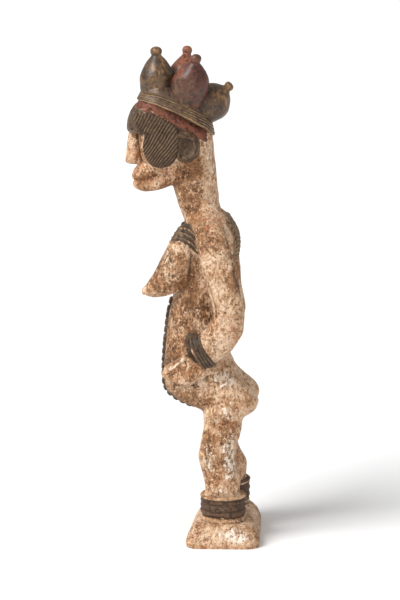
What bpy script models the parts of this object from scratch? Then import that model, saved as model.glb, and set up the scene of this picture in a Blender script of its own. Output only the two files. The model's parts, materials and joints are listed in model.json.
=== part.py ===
"""A carved wooden standing figure with a four-lobed coiffure, one block with its low base.

The figure faces -Y, its left side is +X, and the origin is the centre of the base's underside.
The base has sizes of its own. The figure is drawn in millimetres at its first size, with
heights counted from the floor, and every drawn length is a share of FIGURE_HEIGHT.
"""

import math
from enum import Enum

import bmesh
import bpy
from mathutils import Vector

# Driving sizes, in metres
FIGURE_HEIGHT = 0.591
BASE_WIDTH = 0.162
BASE_LENGTH = 0.093
BASE_HEIGHT = 0.028
BASE_RIM_HEIGHT = 0.008
BASE_SLOPE_WIDTH = 0.019
BASE_LEFT_CORNER_RADIUS = 0.016
BASE_RIGHT_CORNER_RADIUS = 0.036
BASE_FRONT_TAPER = 0.014
BASE_EDGE_WEAR = 0.0015
BASE_SLOPE_EVENNESS = 0.75
BASE_SLOPE_FULLNESS = 0.9

# The figure's own drawing, in millimetres
DRAWN_SOLE = 28.0
DRAWN_TOP = 619.0
UNIT = FIGURE_HEIGHT / (DRAWN_TOP - DRAWN_SOLE)

# How finely the forms are divided
BODY_SIDES = 16
LIMB_SIDES = 12
TURNED_SIDES = 12
HAND_SIDES = 10
NOSE_SIDES = 8
SMALL_SIDES = 6
CORNER_STEPS = 4
SLOPE_STEPS = 4
CREASE_ANGLE = math.radians(40)

# The wood's finish
WOOD_COLOUR = (0.55, 0.42, 0.30, 1.0)
WOOD_ROUGHNESS = 0.75


class Side(Enum):
    """The figure's left side is +X."""

    LEFT = 1
    RIGHT = -1


# Torso: height, front, back, half width, squareness
TORSO = [
    (161, -16, 20, 32, 2.0),
    (168, -42, 28, 41, 2.1),
    (177, -61, 31, 47, 2.2),
    (189, -73.5, 30, 51, 2.3),
    (212, -75, 17, 51, 2.3),
    (235, -74, 7, 47, 2.3),
    (258, -72, 5, 41, 2.3),
    (285, -69, 3, 37, 2.3),
    (310, -63, 5, 37, 2.3),
    (335, -56, 8, 40, 2.4),
    (360, -51, 12, 46, 2.5),
    (380, -49, 13.5, 52, 2.5),
    (394, -48, 8, 55, 2.4),
    (407, -47, 0.5, 51, 2.2),
    (416, -46, -4, 37, 2.0),
    (424, -44, -8, 24, 2.0),
]

# Neck: height, front, back, half width, squareness
NECK = [
    (396, -46, -3, 29, 2.0),
    (408, -51, -3, 27, 2.0),
    (420, -56, -5, 24.5, 2.1),
    (447, -64, -8, 24, 2.2),
    (478, -70, -11, 25, 2.3),
    (506, -76, -14, 26, 2.3),
    (520, -80, -18, 26, 2.2),
]

# Head behind the face: height, front, back, half width, squareness
HEAD = [
    (454, -80, -46, 21, 2.1),
    (463, -92, -36, 28.5, 2.3),
    (473, -100, -25, 31.5, 2.5),
    (486, -104, -14.5, 33, 2.7),
    (502, -106, -14, 34, 2.8),
    (516, -107, -20, 34, 2.7),
    (531, -108.5, -38, 33.5, 2.5),
    (546, -109.5, -60, 31, 2.3),
    (557, -103, -75, 22, 2.0),
]

# Hair block over the forehead: height, front, back, half width, squareness
BROW_BLOCK = [
    (514.5, -119, -78, 25, 2.3),
    (516.5, -120.5, -76, 27.5, 2.3),
    (528, -119.5, -74, 31.5, 2.3),
    (539, -116, -74, 32.5, 2.3),
    (546.5, -111, -76, 31, 2.2),
]

# Nose: height, front, back, half width, squareness
NOSE = [
    (473.5, -120, -96, 8.5, 2.2),
    (475, -122.5, -96, 10.5, 2.2),
    (482, -122.5, -98, 10, 1.9),
    (497, -120.5, -100, 7.5, 1.8),
    (511, -118.5, -102, 6.5, 1.8),
    (522, -115, -104, 6, 2.0),
]

# Upper jaw: distance forward, lower edge, upper edge, half width, squareness
UPPER_JAW = [
    (-114, 455.5, 460, 5, 2.0),
    (-111.5, 452.5, 466, 11, 2.2),
    (-105, 452.2, 474, 17, 2.3),
    (-96, 453.7, 482, 22, 2.4),
    (-84, 460, 492, 26.5, 2.4),
    (-68, 467, 500, 28, 2.4),
]

# Lower jaw: distance forward, lower edge, upper edge, half width, squareness
LOWER_JAW = [
    (-113, 446, 450, 5, 2.0),
    (-110.5, 442.8, 451.8, 11, 2.2),
    (-104, 440.3, 452.6, 17, 2.3),
    (-96, 439, 454.5, 21.5, 2.4),
    (-84, 440.5, 461.5, 25.5, 2.4),
    (-72, 444.5, 467.5, 27, 2.4),
    (-56, 450, 474, 26, 2.3),
    (-40, 458, 484, 21, 2.2),
]

# Leg: height, front, back, half width, squareness, distance of its centre from the middle
LEG = [
    (186, -24, 22, 22, 2.2, 28),
    (164, -24.5, 24.5, 25.5, 2.3, 29.5),
    (145, -24, 24, 23.5, 2.3, 31.5),
    (131, -27, 20.5, 22, 2.2, 33),
    (118, -29.5, 19.5, 21.5, 2.1, 34),
    (108, -31.5, 20, 21.5, 2.0, 35),
    (97, -28.5, 23, 21.5, 2.1, 36),
    (84, -25, 23.5, 21, 2.2, 37),
    (66, -21.5, 21, 19.5, 2.2, 38),
    (50, -21.5, 21.5, 20, 2.2, 38.5),
]
ANKLE_CENTRE = (38.5, 0.5)
RIGHT_FOOT_SETBACK = 3.5

# Buttock: height, front, back, half width, squareness
BUTTOCK = [
    (155, -2, 22, 12, 2.0),
    (160, -14, 31, 21, 2.1),
    (167, -20, 41, 26, 2.2),
    (176, -20, 45.5, 28, 2.2),
    (182.5, -20, 44.5, 28, 2.2),
    (191, -20, 37, 27, 2.2),
    (202, -22, 24, 24, 2.2),
    (214, -24, 13, 20, 2.1),
    (230, -25, 6, 13, 2.0),
]
BUTTOCK_CENTRE = 25.5

# Breast, from the chest forward: distance, lower edge, upper edge, half width, squareness
BREAST = [
    (-30, 332, 404, 19, 2.0),
    (-45, 324, 405, 24, 2.1),
    (-56, 316.5, 398, 24.5, 2.1),
    (-68, 310.5, 377, 21, 2.1),
    (-79, 308.5, 353.5, 16.5, 2.1),
    (-89, 308.5, 335, 11.5, 2.1),
    (-95.5, 310.5, 325, 7, 2.0),
    (-98, 310.5, 321, 4.8, 2.0),
    (-101, 312, 320, 3.6, 2.0),
]
BREAST_CENTRE = 23.0
RIGHT_BREAST_SHORTER = 0.13
RIGHT_BREAST_DROP = 3.5

# Arm, from inside the shoulder to the wrist: middle of each section, half depth, half width
ARM = [
    (30, -18, 402, 14, 10),
    (43, -17, 398, 19, 14),
    (52, -15, 386, 20.5, 14),
    (56.5, -9, 368, 20.5, 13.5),
    (58, -2, 346, 21.5, 13.5),
    (58.5, 3, 320, 19.5, 13),
    (58.5, 8.5, 297, 19.5, 13.5),
    (57.5, 6, 279, 21.5, 13.5),
    (56, -5, 262, 22, 13.5),
    (53, -20, 249, 20.5, 13),
    (49.5, -32, 239, 14, 10),
]

# Hand, from the wrist to the fingertips: middle of each section, half depth, half width
HAND = [
    (49, -15, 224, 5, 7),
    (49, -27, 222, 11, 9),
    (48.5, -38, 220.5, 15.5, 9.5),
    (46, -49, 219, 18.5, 9.5),
    (41.5, -60, 216, 13.5, 9),
    (36.5, -69, 213.5, 8, 7.5),
    (33, -74, 212.5, 4, 5),
]

# Thumb along the hand's upper edge: middle of each section, half depth, half width
THUMB = [
    (50, -44, 238, 2.5, 3.5),
    (48.5, -51, 235, 4, 5),
    (44.5, -61, 228, 3.8, 5),
    (38.5, -72, 219.5, 3, 4),
]
ELBOW_HEIGHT = 302.0
ELBOW_REACH = 62.0
RIGHT_ELBOW_DROP = 20.0
RIGHT_ELBOW_FORWARD = 1.5

# Cuff of four ridges on each wrist
CUFF_CENTRE = (52.5, -24, 247)
CUFF_DIRECTION = (-0.22, -0.87, -0.44)
CUFF_RIDGES = 4
CUFF_PITCH = 3.6
CUFF_HALF_DEPTH = 22.5
CUFF_HALF_WIDTH = 14.5
CUFF_GROOVE = 1.7

# Anklet drum: radius and height above the sole, bottom to top
ANKLET = [
    (25.5, -3.0),
    (27.2, 3.5),
    (25.2, 6.5),
    (27.9, 11.5),
    (26.2, 15.0),
    (28.0, 20.0),
    (26.0, 24.0),
    (28.2, 28.0),
    (27.8, 31.5),
    (19.5, 30.5),
]
ANKLET_SIDES = 16

# Onion-shaped lobe with its knob: radius and height along its axis from the bulb's middle
LOBE = [
    (14.0, -32.0),
    (18.6, -21.5),
    (21.2, -10.5),
    (21.5, -1.0),
    (20.2, 8.0),
    (16.6, 16.5),
    (11.2, 23.5),
    (7.0, 27.8),
    (5.9, 30.0),
    (7.3, 33.0),
    (6.8, 36.4),
    (3.4, 39.3),
]

# Each lobe: middle of its bulb, axis, girth and length as shares of the drawn lobe
LOBES = [
    ((0.0, -82.5, 579.0), (0.0, -0.04, 1.0), 1.0, 1.0),
    ((20.0, -41.0, 578.0), (0.30, 0.17, 1.0), 1.06, 0.97),
    ((-20.0, -49.0, 577.5), (-0.30, 0.06, 1.0), 1.02, 1.0),
    ((0.0, -13.5, 553.0), (0.0, 0.75, 0.66), 1.08, 0.76),
]

# Bound cords round the head: lower and upper edge as distance and height, and the band's plan
CORD_FOOT = [(-110, 554), (-98, 554.5), (-81, 551), (-60, 542.5), (-40, 532), (-22, 520.5), (-11, 507)]
CORD_HEAD = [(-110, 562), (-98, 563.5), (-81, 562), (-60, 554.5), (-40, 546), (-22, 535.5), (-11, 522)]
CORD_FRONT = -107.0
CORD_BACK = -13.0
CORD_HALF_WIDTH = 34.0
CORD_SQUARENESS = 2.3
CORD_COUNT = 4
CORD_RELIEF = 1.3
CORD_LEAN = 4.5
CORD_SINK = 9.0
CORD_SIDES = 22

# Crown under the lobes: how far in, and how far above the cords
CROWN = [(-12.0, -36.0), (-7.0, -8.0), (-5.0, 0.0), (-8.0, 7.0), (-16.0, 14.0), (-25.0, 18.0)]

# Ribbed patch on each cheek: outline as distance and height, and its ribs
CHEEK_OUTLINE = [
    (-110, 541), (-90, 541.5), (-72, 535), (-57, 525), (-54.5, 508), (-55, 492), (-60, 480),
    (-70, 473), (-82, 472), (-92, 477), (-98.5, 487), (-100.5, 498), (-98.5, 509),
    (-99, 517), (-106, 522), (-111, 530),
]
RIB_SLANT = math.radians(60)
RIB_PITCH = 3.9
RIB_DEPTH = 1.4
PATCH_THICKNESS = 3.4
PATCH_ROOT = 9.0
PATCH_COLUMNS = 3
PATCH_FIRST_ROW = 0.25
HEAD_FLAT_SHARE = 0.97

# Ear: rim path as distance and height, and the bowl inside it
EAR_RIM = [(-56, 513.5), (-46, 515), (-37, 511), (-32.5, 502), (-34, 493), (-41, 487), (-52, 485.5)]
EAR_CENTRE = (-46, 500)
EAR_OUT = 36.5
EAR_RIM_RADIUS = 3.9
EAR_BOWL = (12.0, 14.0)
EAR_BOWL_LEVELS = [(-10.0, 0.8), (0.0, 1.0), (-2.4, 0.4)]

# Raised scars: row of beads down the belly, and the notched panel on the back
BELLY_ROW_TOP = 303.0
BEAD_PITCH = 9.3
BEAD_LENGTH = 4.9
BEAD_WIDTH = 6.5
BEAD_RELIEF = 2.4
BEAD_LEVELS = [(-1.0, 1.0), (1.0, 0.6)]
BACK_PANEL_TOP = 411.0
BACK_PANEL_BOTTOM = 353.0
BACK_PANEL_REACH = math.radians(34)
BACK_PANEL_ROWS = 13
BACK_PANEL_COLUMNS = 7
BACK_PANEL_ROOT = 14.0
BACK_PANEL_RELIEF = 4.6
BACK_PANEL_NOTCH = 1.6


def remove_everything():
    """Empty the scene before the figure is built."""
    for item in list(bpy.data.objects):
        bpy.data.objects.remove(item, do_unlink=True)


def placed(point):
    """Turn a drawn point into metres, with the drawn sole on top of the base."""
    x, y, z = point
    return Vector((x * UNIT, y * UNIT, BASE_HEIGHT + (z - DRAWN_SOLE) * UNIT))


def blended(stations, steps=2):
    """Run a smooth curve through the stations and return steps points for each span."""
    last = len(stations) - 1
    result = []
    for index in range(last):
        before = stations[max(index - 1, 0)]
        here = stations[index]
        there = stations[index + 1]
        after = stations[min(index + 2, last)]
        for step in range(steps):
            t = step / steps
            result.append(tuple(curve_value(a, b, c, d, t)
                                for a, b, c, d in zip(before, here, there, after)))
    result.append(tuple(stations[last]))
    return result


def curve_value(a, b, c, d, t):
    """Value of a smooth curve between b and c, with a and d as the neighbours."""
    tension = 0.5
    return b + tension * t * (c - a + t * (2 * a - 5 * b + 4 * c - d + t * (3 * (b - c) + d - a)))


def lookup(line, key):
    """Read a value from a list of (key, value) pairs that runs one way."""
    pairs = sorted(line)
    if key <= pairs[0][0]:
        return pairs[0][1]
    for (k0, v0), (k1, v1) in zip(pairs, pairs[1:]):
        if key <= k1:
            return v0 + (v1 - v0) * (key - k0) / (k1 - k0)
    return pairs[-1][1]


def oval(half_a, half_b, squareness, angle):
    """Point on a squared oval at an angle."""
    power = 2.0 / squareness
    c = math.cos(angle)
    s = math.sin(angle)
    return (math.copysign(abs(c) ** power, c) * half_a,
            math.copysign(abs(s) ** power, s) * half_b)


def level_ring(station, sides, centre=0.0):
    """Horizontal section: height, front, back, half width, squareness."""
    z, front, back, half_width, squareness = station[:5]
    ring = []
    for side in range(sides):
        x, y = oval(half_width, (back - front) / 2, squareness, 2 * math.pi * side / sides)
        ring.append((centre + x, (front + back) / 2 + y, z))
    return ring


def upright_ring(station, sides, centre=0.0):
    """Section facing forward: distance, lower edge, upper edge, half width, squareness."""
    y, low, high, half_width, squareness = station
    ring = []
    for side in range(sides):
        x, z = oval(half_width, (high - low) / 2, squareness, 2 * math.pi * side / sides)
        ring.append((centre + x, y, (low + high) / 2 + z))
    return ring


def path_rings(stations, sides, squareness=2.2):
    """Sections square to a path: middle of each section, half depth, half width."""
    points = [Vector(station[:3]) for station in stations]
    rings = []
    for index, station in enumerate(stations):
        ahead = points[min(index + 1, len(points) - 1)]
        behind = points[max(index - 1, 0)]
        along = (ahead - behind).normalized()
        across = (Vector((1, 0, 0)) - along * along.x).normalized()
        deep = along.cross(across)
        ring = []
        for side in range(sides):
            a, b = oval(station[4], station[3], squareness, 2 * math.pi * side / sides)
            ring.append(tuple(points[index] + across * a + deep * b))
        rings.append(ring)
    return rings


def named(form, side):
    """Name of a form on one side."""
    return f"{form}_{side.name.lower()}"


def mirrored(rings, side):
    """Put rings drawn for the left side on the side that is asked for."""
    if side is Side.LEFT:
        return rings
    return [[(-x, y, z) for x, y, z in ring] for ring in rings]


def skinned(name, rings, closed_loop=False, convert=placed):
    """Make a closed solid from rings of points and hide it as a helper for the union."""
    mesh = bpy.data.meshes.new(name)
    shape = bmesh.new()
    loops = [[shape.verts.new(convert(point)) for point in ring] for ring in rings]
    pairs = list(zip(loops, loops[1:]))
    if closed_loop:
        pairs.append((loops[-1], loops[0]))
    count = len(loops[0])
    for lower, upper in pairs:
        for index in range(count):
            following = (index + 1) % count
            shape.faces.new((lower[index], lower[following], upper[following], upper[index]))
    if not closed_loop:
        shape.faces.new(loops[0])
        shape.faces.new(loops[-1])
    bmesh.ops.recalc_face_normals(shape, faces=shape.faces)
    if shape.calc_volume(signed=True) < 0:
        bmesh.ops.reverse_faces(shape, faces=shape.faces)
    shape.to_mesh(mesh)
    shape.free()
    return bpy.data.objects.new(name, mesh)


def turned_rings(profile, base, axis, sides, girth=1.0, length=1.0):
    """Rings of a turned form: radius and height pairs about an axis through base."""
    direction = Vector(axis).normalized()
    turn = Vector((0, 0, 1)).rotation_difference(direction).to_matrix()
    rings = []
    for radius, height in profile:
        ring = []
        for side in range(sides):
            angle = 2 * math.pi * side / sides
            local = Vector((math.cos(angle) * radius * girth,
                            math.sin(angle) * radius * girth, height * length))
            ring.append(tuple(Vector(base) + turn @ local))
        rings.append(ring)
    return rings


def base_plan(inset):
    """Outline of the base drawn in by the inset: blunt left end, rounder and narrower right end."""
    half_x = BASE_WIDTH / 2 - inset
    half_y = BASE_LENGTH / 2 - inset
    outline = []
    for quarter in range(4):
        sign_x = 1 if quarter in (0, 3) else -1
        sign_y = 1 if quarter in (0, 1) else -1
        radius = BASE_LEFT_CORNER_RADIUS if sign_x > 0 else BASE_RIGHT_CORNER_RADIUS
        radius = min(radius, half_y)
        for step in range(CORNER_STEPS + 1):
            angle = (quarter + step / CORNER_STEPS) * math.pi / 2
            x = sign_x * (half_x - radius) + radius * math.cos(angle)
            y = sign_y * (half_y - radius) + radius * math.sin(angle)
            rightward = (half_x - x) / (2 * half_x)
            forward = (half_y - y) / (2 * half_y)
            outline.append((x, y + BASE_FRONT_TAPER * rightward * forward))
    return outline


def base_block():
    """Low base with a worn lower edge, an upright rim and rounded slopes up to a flat top."""
    levels = [(0.0, BASE_EDGE_WEAR), (BASE_EDGE_WEAR, 0.0), (BASE_RIM_HEIGHT, 0.0)]
    rise = BASE_HEIGHT - BASE_RIM_HEIGHT
    for step in range(1, SLOPE_STEPS + 1):
        share = step / SLOPE_STEPS
        drawn_in = BASE_SLOPE_EVENNESS * share + (1 - BASE_SLOPE_EVENNESS) * share ** 3
        lifted = math.sin(share * math.pi / 2) ** BASE_SLOPE_FULLNESS
        levels.append((BASE_RIM_HEIGHT + rise * lifted, BASE_SLOPE_WIDTH * drawn_in))
    rings = []
    for height, inset in levels:
        rings.append([(x, y, height) for x, y in base_plan(inset)])
    return skinned("carved_figure", rings, convert=Vector)


def setback(side):
    """How far back one foot stands."""
    return 0.0 if side is Side.LEFT else RIGHT_FOOT_SETBACK


def leg(side):
    """One leg, from inside the hip down into the base."""
    rings = []
    highest = LEG[0][0]
    for station in LEG:
        back = setback(side) * (highest - station[0]) / (highest - DRAWN_SOLE)
        ring = level_ring(station, LIMB_SIDES, centre=station[5])
        rings.append([(x, y + back, z) for x, y, z in ring])
    into_base = DRAWN_SOLE - BASE_HEIGHT / 2 / UNIT
    rings.append([(x, y, into_base) for x, y, z in rings[-1]])
    return skinned(named("leg", side), mirrored(rings, side))


def anklet(side):
    """Drum of stacked rings round one ankle, standing on the base."""
    x, y = ANKLE_CENTRE
    rings = turned_rings(ANKLET, (x, y + setback(side), DRAWN_SOLE), (0, 0, 1), ANKLET_SIDES)
    return skinned(named("anklet", side), mirrored(rings, side))


def buttock(side):
    """One projecting buttock."""
    rings = [level_ring(station, LIMB_SIDES, BUTTOCK_CENTRE) for station in BUTTOCK]
    return skinned(named("buttock", side), mirrored(rings, side))


def breast(side):
    """One long pointed breast with its nipple, the right one a little shorter and lower."""
    rings = [upright_ring(station, LIMB_SIDES, BREAST_CENTRE) for station in BREAST]
    if side is Side.RIGHT:
        root = BREAST[0][0]
        shrink = 1 - RIGHT_BREAST_SHORTER
        rings = [[(x, root + (y - root) * shrink, z - RIGHT_BREAST_DROP) for x, y, z in ring]
                 for ring in rings]
    return skinned(named("breast", side), mirrored(rings, side))


def arm_stations(side):
    """The arm's stations, with the right elbow carved a little lower and further forward."""
    if side is Side.LEFT:
        return ARM
    stations = []
    for x, y, z, deep, wide in ARM:
        share = max(0.0, 1 - abs(z - ELBOW_HEIGHT) / ELBOW_REACH)
        stations.append((x, y - RIGHT_ELBOW_FORWARD * share, z - RIGHT_ELBOW_DROP * share, deep, wide))
    return stations


def arm(side):
    """One arm from the shoulder to the wrist."""
    return skinned(named("arm", side), mirrored(path_rings(arm_stations(side), LIMB_SIDES), side))


def hand(side):
    """One flat hand laid on the side of the belly."""
    return skinned(named("hand", side), mirrored(path_rings(HAND, HAND_SIDES), side))


def thumb(side):
    """The thumb along the hand's upper edge."""
    return skinned(named("thumb", side), mirrored(path_rings(THUMB, SMALL_SIDES), side))


def cuff(side):
    """Ridged cuff round one wrist."""
    middle = Vector(CUFF_CENTRE)
    along = Vector(CUFF_DIRECTION).normalized()
    stations = []
    for row in range(2 * CUFF_RIDGES + 1):
        shift = (row - CUFF_RIDGES) * CUFF_PITCH / 2
        grow = 0.0 if row % 2 else -CUFF_GROOVE
        if row in (0, 2 * CUFF_RIDGES):
            grow = -2 * CUFF_GROOVE
        point = middle + along * shift
        stations.append((*point, CUFF_HALF_DEPTH + grow, CUFF_HALF_WIDTH + grow))
    return skinned(named("cuff", side), mirrored(path_rings(stations, LIMB_SIDES), side))


def lobe(number):
    """One onion-shaped lobe of the coiffure with its knob."""
    centre, axis, girth, length = LOBES[number]
    rings = turned_rings(LOBE, centre, axis, TURNED_SIDES, girth, length)
    return skinned(f"lobe_{number}", rings)


def cord_ring(out, rise):
    """Loop round the head at a share of the way from the cords' lower to their upper edge."""
    middle = (CORD_FRONT + CORD_BACK) / 2
    half_depth = (CORD_BACK - CORD_FRONT) / 2 + out
    ring = []
    for side in range(CORD_SIDES):
        angle = 2 * math.pi * side / CORD_SIDES
        x, y = oval(CORD_HALF_WIDTH + out, half_depth, CORD_SQUARENESS, angle)
        low = lookup(CORD_FOOT, middle + y)
        high = lookup(CORD_HEAD, middle + y)
        ring.append((x, middle + y, low + (high - low) * rise))
    return ring


def cords():
    """Band of bound cords below the lobes, leaning in towards the top."""
    rings = [cord_ring(-CORD_SINK, 0.0)]
    for row in range(2 * CORD_COUNT + 1):
        rise = row / (2 * CORD_COUNT)
        relief = CORD_RELIEF if row % 2 else 0.0
        rings.append(cord_ring(relief - CORD_LEAN * rise, rise))
    rings.append(cord_ring(-CORD_SINK - CORD_LEAN, 1.0))
    return skinned("cords", rings, closed_loop=True)


def crown():
    """Low dome that carries the lobes above the cords."""
    rings = []
    for out, up in CROWN:
        rings.append([(x, y, z + up) for x, y, z in cord_ring(out, 1.0)[::2]])
    return skinned("crown", rings)


def head_side(y, z, grow):
    """Half width of the head at a distance and height, with its section grown outwards."""
    rings = blended(HEAD, 3)
    line = {}
    for column, key in ((1, "front"), (2, "back"), (3, "half"), (4, "square")):
        line[key] = lookup([(ring[0], ring[column]) for ring in rings], z)
    half_depth = (line["back"] - line["front"]) / 2 + grow
    share = min(abs(y - (line["front"] + line["back"]) / 2) / half_depth, HEAD_FLAT_SHARE)
    return (line["half"] + grow) * (1 - share ** line["square"]) ** (1 / line["square"])


def span_of(outline, direction, normal, level):
    """Where a straight line across an outline enters and leaves it."""
    hits = []
    for start, end in zip(outline, outline[1:] + outline[:1]):
        a = Vector(start).dot(normal) - level
        b = Vector(end).dot(normal) - level
        if a * b < 0:
            point = Vector(start).lerp(Vector(end), a / (a - b))
            hits.append(point.dot(direction))
    return min(hits), max(hits)


def cheek_patch(side):
    """Raised patch on one cheek, ribbed on the slant, closed behind inside the head."""
    direction = Vector((math.cos(RIB_SLANT), math.sin(RIB_SLANT)))
    normal = Vector((math.sin(RIB_SLANT), -math.cos(RIB_SLANT)))
    levels = [Vector(point).dot(normal) for point in CHEEK_OUTLINE]
    count = 2 * int((max(levels) - min(levels)) / RIB_PITCH)
    rings = []
    for row in range(count + 1):
        level = min(levels) + (row + PATCH_FIRST_ROW) * RIB_PITCH / 2
        if level >= max(levels):
            break
        low, high = span_of(CHEEK_OUTLINE, direction, normal, level)
        grow = PATCH_THICKNESS if row % 2 else PATCH_THICKNESS - RIB_DEPTH
        ring = []
        for column in range(PATCH_COLUMNS):
            reach = low + (high - low) * column / (PATCH_COLUMNS - 1)
            y, z = direction * reach + normal * level
            ring.append((head_side(y, z, grow), y, z))
        for x, y, z in (ring[-1], ring[0]):
            ring.append((x - PATCH_ROOT, y, z))
        rings.append(ring)
    return skinned(named("cheek_patch", side), mirrored(rings, side))


def ear(side):
    """Rim of one ear, a thick curl open to the front."""
    rings = []
    for index, (y, z) in enumerate(EAR_RIM):
        ahead = Vector(EAR_RIM[min(index + 1, len(EAR_RIM) - 1)])
        behind = Vector(EAR_RIM[max(index - 1, 0)])
        along = (ahead - behind).normalized()
        ring = []
        for step in range(SMALL_SIDES):
            angle = 2 * math.pi * step / SMALL_SIDES
            x = EAR_OUT + EAR_RIM_RADIUS * math.cos(angle)
            out = EAR_RIM_RADIUS * math.sin(angle)
            ring.append((x, y - along.y * out, z + along.x * out))
        rings.append(ring)
    return skinned(named("ear_rim", side), mirrored(rings, side))


def ear_bowl(side):
    """Shallow body of the ear inside its rim."""
    deep, tall = EAR_BOWL
    y, z = EAR_CENTRE
    rings = []
    for out, share in EAR_BOWL_LEVELS:
        ring = []
        for step in range(HAND_SIDES):
            angle = 2 * math.pi * step / HAND_SIDES
            forward = deep * share * math.cos(angle)
            upward = tall * share * math.sin(angle)
            ring.append((EAR_OUT + out, y + forward, z + upward))
        rings.append(ring)
    return skinned(named("ear_bowl", side), mirrored(rings, side))


def belly_beads():
    """Row of raised scars down the middle of the belly and under it."""
    line = [(y, z) for z, y, *rest in reversed(blended(TORSO, 4)) if z <= BELLY_ROW_TOP]
    beads = []
    walked = BEAD_PITCH
    for (y0, z0), (y1, z1) in zip(line, line[1:]):
        along = Vector((0, y1 - y0, z1 - z0))
        walked += along.length
        if walked < BEAD_PITCH:
            continue
        walked -= BEAD_PITCH
        out = Vector((0, along.z, -along.y)).normalized()
        beads.append(bead(len(beads), Vector((0, y1, z1)), along.normalized(), out))
    return beads


def bead(number, centre, along, out):
    """One raised scar, a low oval dome sunk into the belly."""
    rings = []
    for level, share in BEAD_LEVELS:
        ring = []
        for step in range(SMALL_SIDES):
            angle = 2 * math.pi * (step + 0.5) / SMALL_SIDES
            point = centre + out * level * BEAD_RELIEF
            point += along * math.sin(angle) * BEAD_LENGTH * share
            point.x += math.cos(angle) * BEAD_WIDTH * share
            ring.append(tuple(point))
        rings.append(ring)
    return skinned(f"belly_bead_{number}", rings)


def back_panel():
    """Notched panel of scars down the upper back."""
    dense = blended(TORSO, 3)
    rings = []
    for row in range(BACK_PANEL_ROWS):
        share = row / (BACK_PANEL_ROWS - 1)
        z = BACK_PANEL_TOP + (BACK_PANEL_BOTTOM - BACK_PANEL_TOP) * share
        values = [lookup([(ring[0], ring[column]) for ring in dense], z) for column in (1, 2, 3, 4)]
        front, back, half_width, squareness = values
        grow = BACK_PANEL_RELIEF if row % 2 else BACK_PANEL_RELIEF - BACK_PANEL_NOTCH
        ring = []
        for column in range(BACK_PANEL_COLUMNS):
            across = 2 * column / (BACK_PANEL_COLUMNS - 1) - 1
            angle = math.pi / 2 + BACK_PANEL_REACH * across
            x, y = oval(half_width + grow, (back - front) / 2 + grow, squareness, angle)
            ring.append((x, (front + back) / 2 + y, z))
        for x, y, z in (ring[-1], ring[0]):
            ring.append((x, y - BACK_PANEL_ROOT, z))
        rings.append(ring)
    return skinned("back_panel", rings)


def body_parts():
    """Every carved form of the figure above the base."""
    parts = [
        skinned("torso", [level_ring(s, BODY_SIDES) for s in TORSO]),
        skinned("neck", [level_ring(s, BODY_SIDES) for s in NECK]),
        skinned("head", [level_ring(s, BODY_SIDES) for s in HEAD]),
        skinned("brow_block", [level_ring(s, BODY_SIDES) for s in BROW_BLOCK]),
        skinned("nose", [level_ring(s, NOSE_SIDES) for s in NOSE]),
        skinned("upper_jaw", [upright_ring(s, LIMB_SIDES) for s in UPPER_JAW]),
        skinned("lower_jaw", [upright_ring(s, LIMB_SIDES) for s in LOWER_JAW]),
        cords(),
        crown(),
        back_panel(),
    ]
    for maker in (leg, anklet, buttock, breast, arm, hand, thumb, cuff, cheek_patch, ear, ear_bowl):
        parts.extend(maker(side) for side in Side)
    parts.extend(lobe(number) for number in range(len(LOBES)))
    parts.extend(belly_beads())
    return parts


def wood():
    """Worn, chalk-coated carved wood."""
    material = bpy.data.materials.new("carved_wood")
    material.use_nodes = True
    shader = material.node_tree.nodes["Principled BSDF"]
    shader.inputs["Base Color"].default_value = WOOD_COLOUR
    shader.inputs["Roughness"].default_value = WOOD_ROUGHNESS
    shader.inputs["Metallic"].default_value = 0.0
    return material


def build():
    """Carve the whole figure and its base as one block."""
    remove_everything()
    helpers = bpy.data.collections.new("carved_forms")
    bpy.context.scene.collection.children.link(helpers)
    for part in body_parts():
        part.hide_render = True
        part.display_type = "WIRE"
        helpers.objects.link(part)
    block = base_block()
    bpy.context.scene.collection.objects.link(block)
    block.data.materials.append(wood())
    union = block.modifiers.new("carved_from_one_block", "BOOLEAN")
    union.operation = "UNION"
    union.operand_type = "COLLECTION"
    union.collection = helpers
    union.solver = "EXACT"
    block.data.shade_smooth()
    block.data.set_sharp_from_angle(angle=CREASE_ANGLE)
    return block


build()
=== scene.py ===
"""Looks of a carved wooden standing figure: chalked body, oiled hair, dark scars and anklets.

The body, head and base are reworked copies of the solid block. The coiffure, bound cords, cheek
patches, ears, anklets, cuffs and scars are modelled here and laid on that skin. Sizes are in
millimetres where a name says so or a table holds them, and in metres otherwise.
"""

import json
import logging
import math
from collections.abc import Callable, Sequence
from dataclasses import dataclass, field
from enum import Enum

import bpy
import numpy as np
from mathutils import Matrix, Vector
from mathutils.bvhtree import BVHTree

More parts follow.
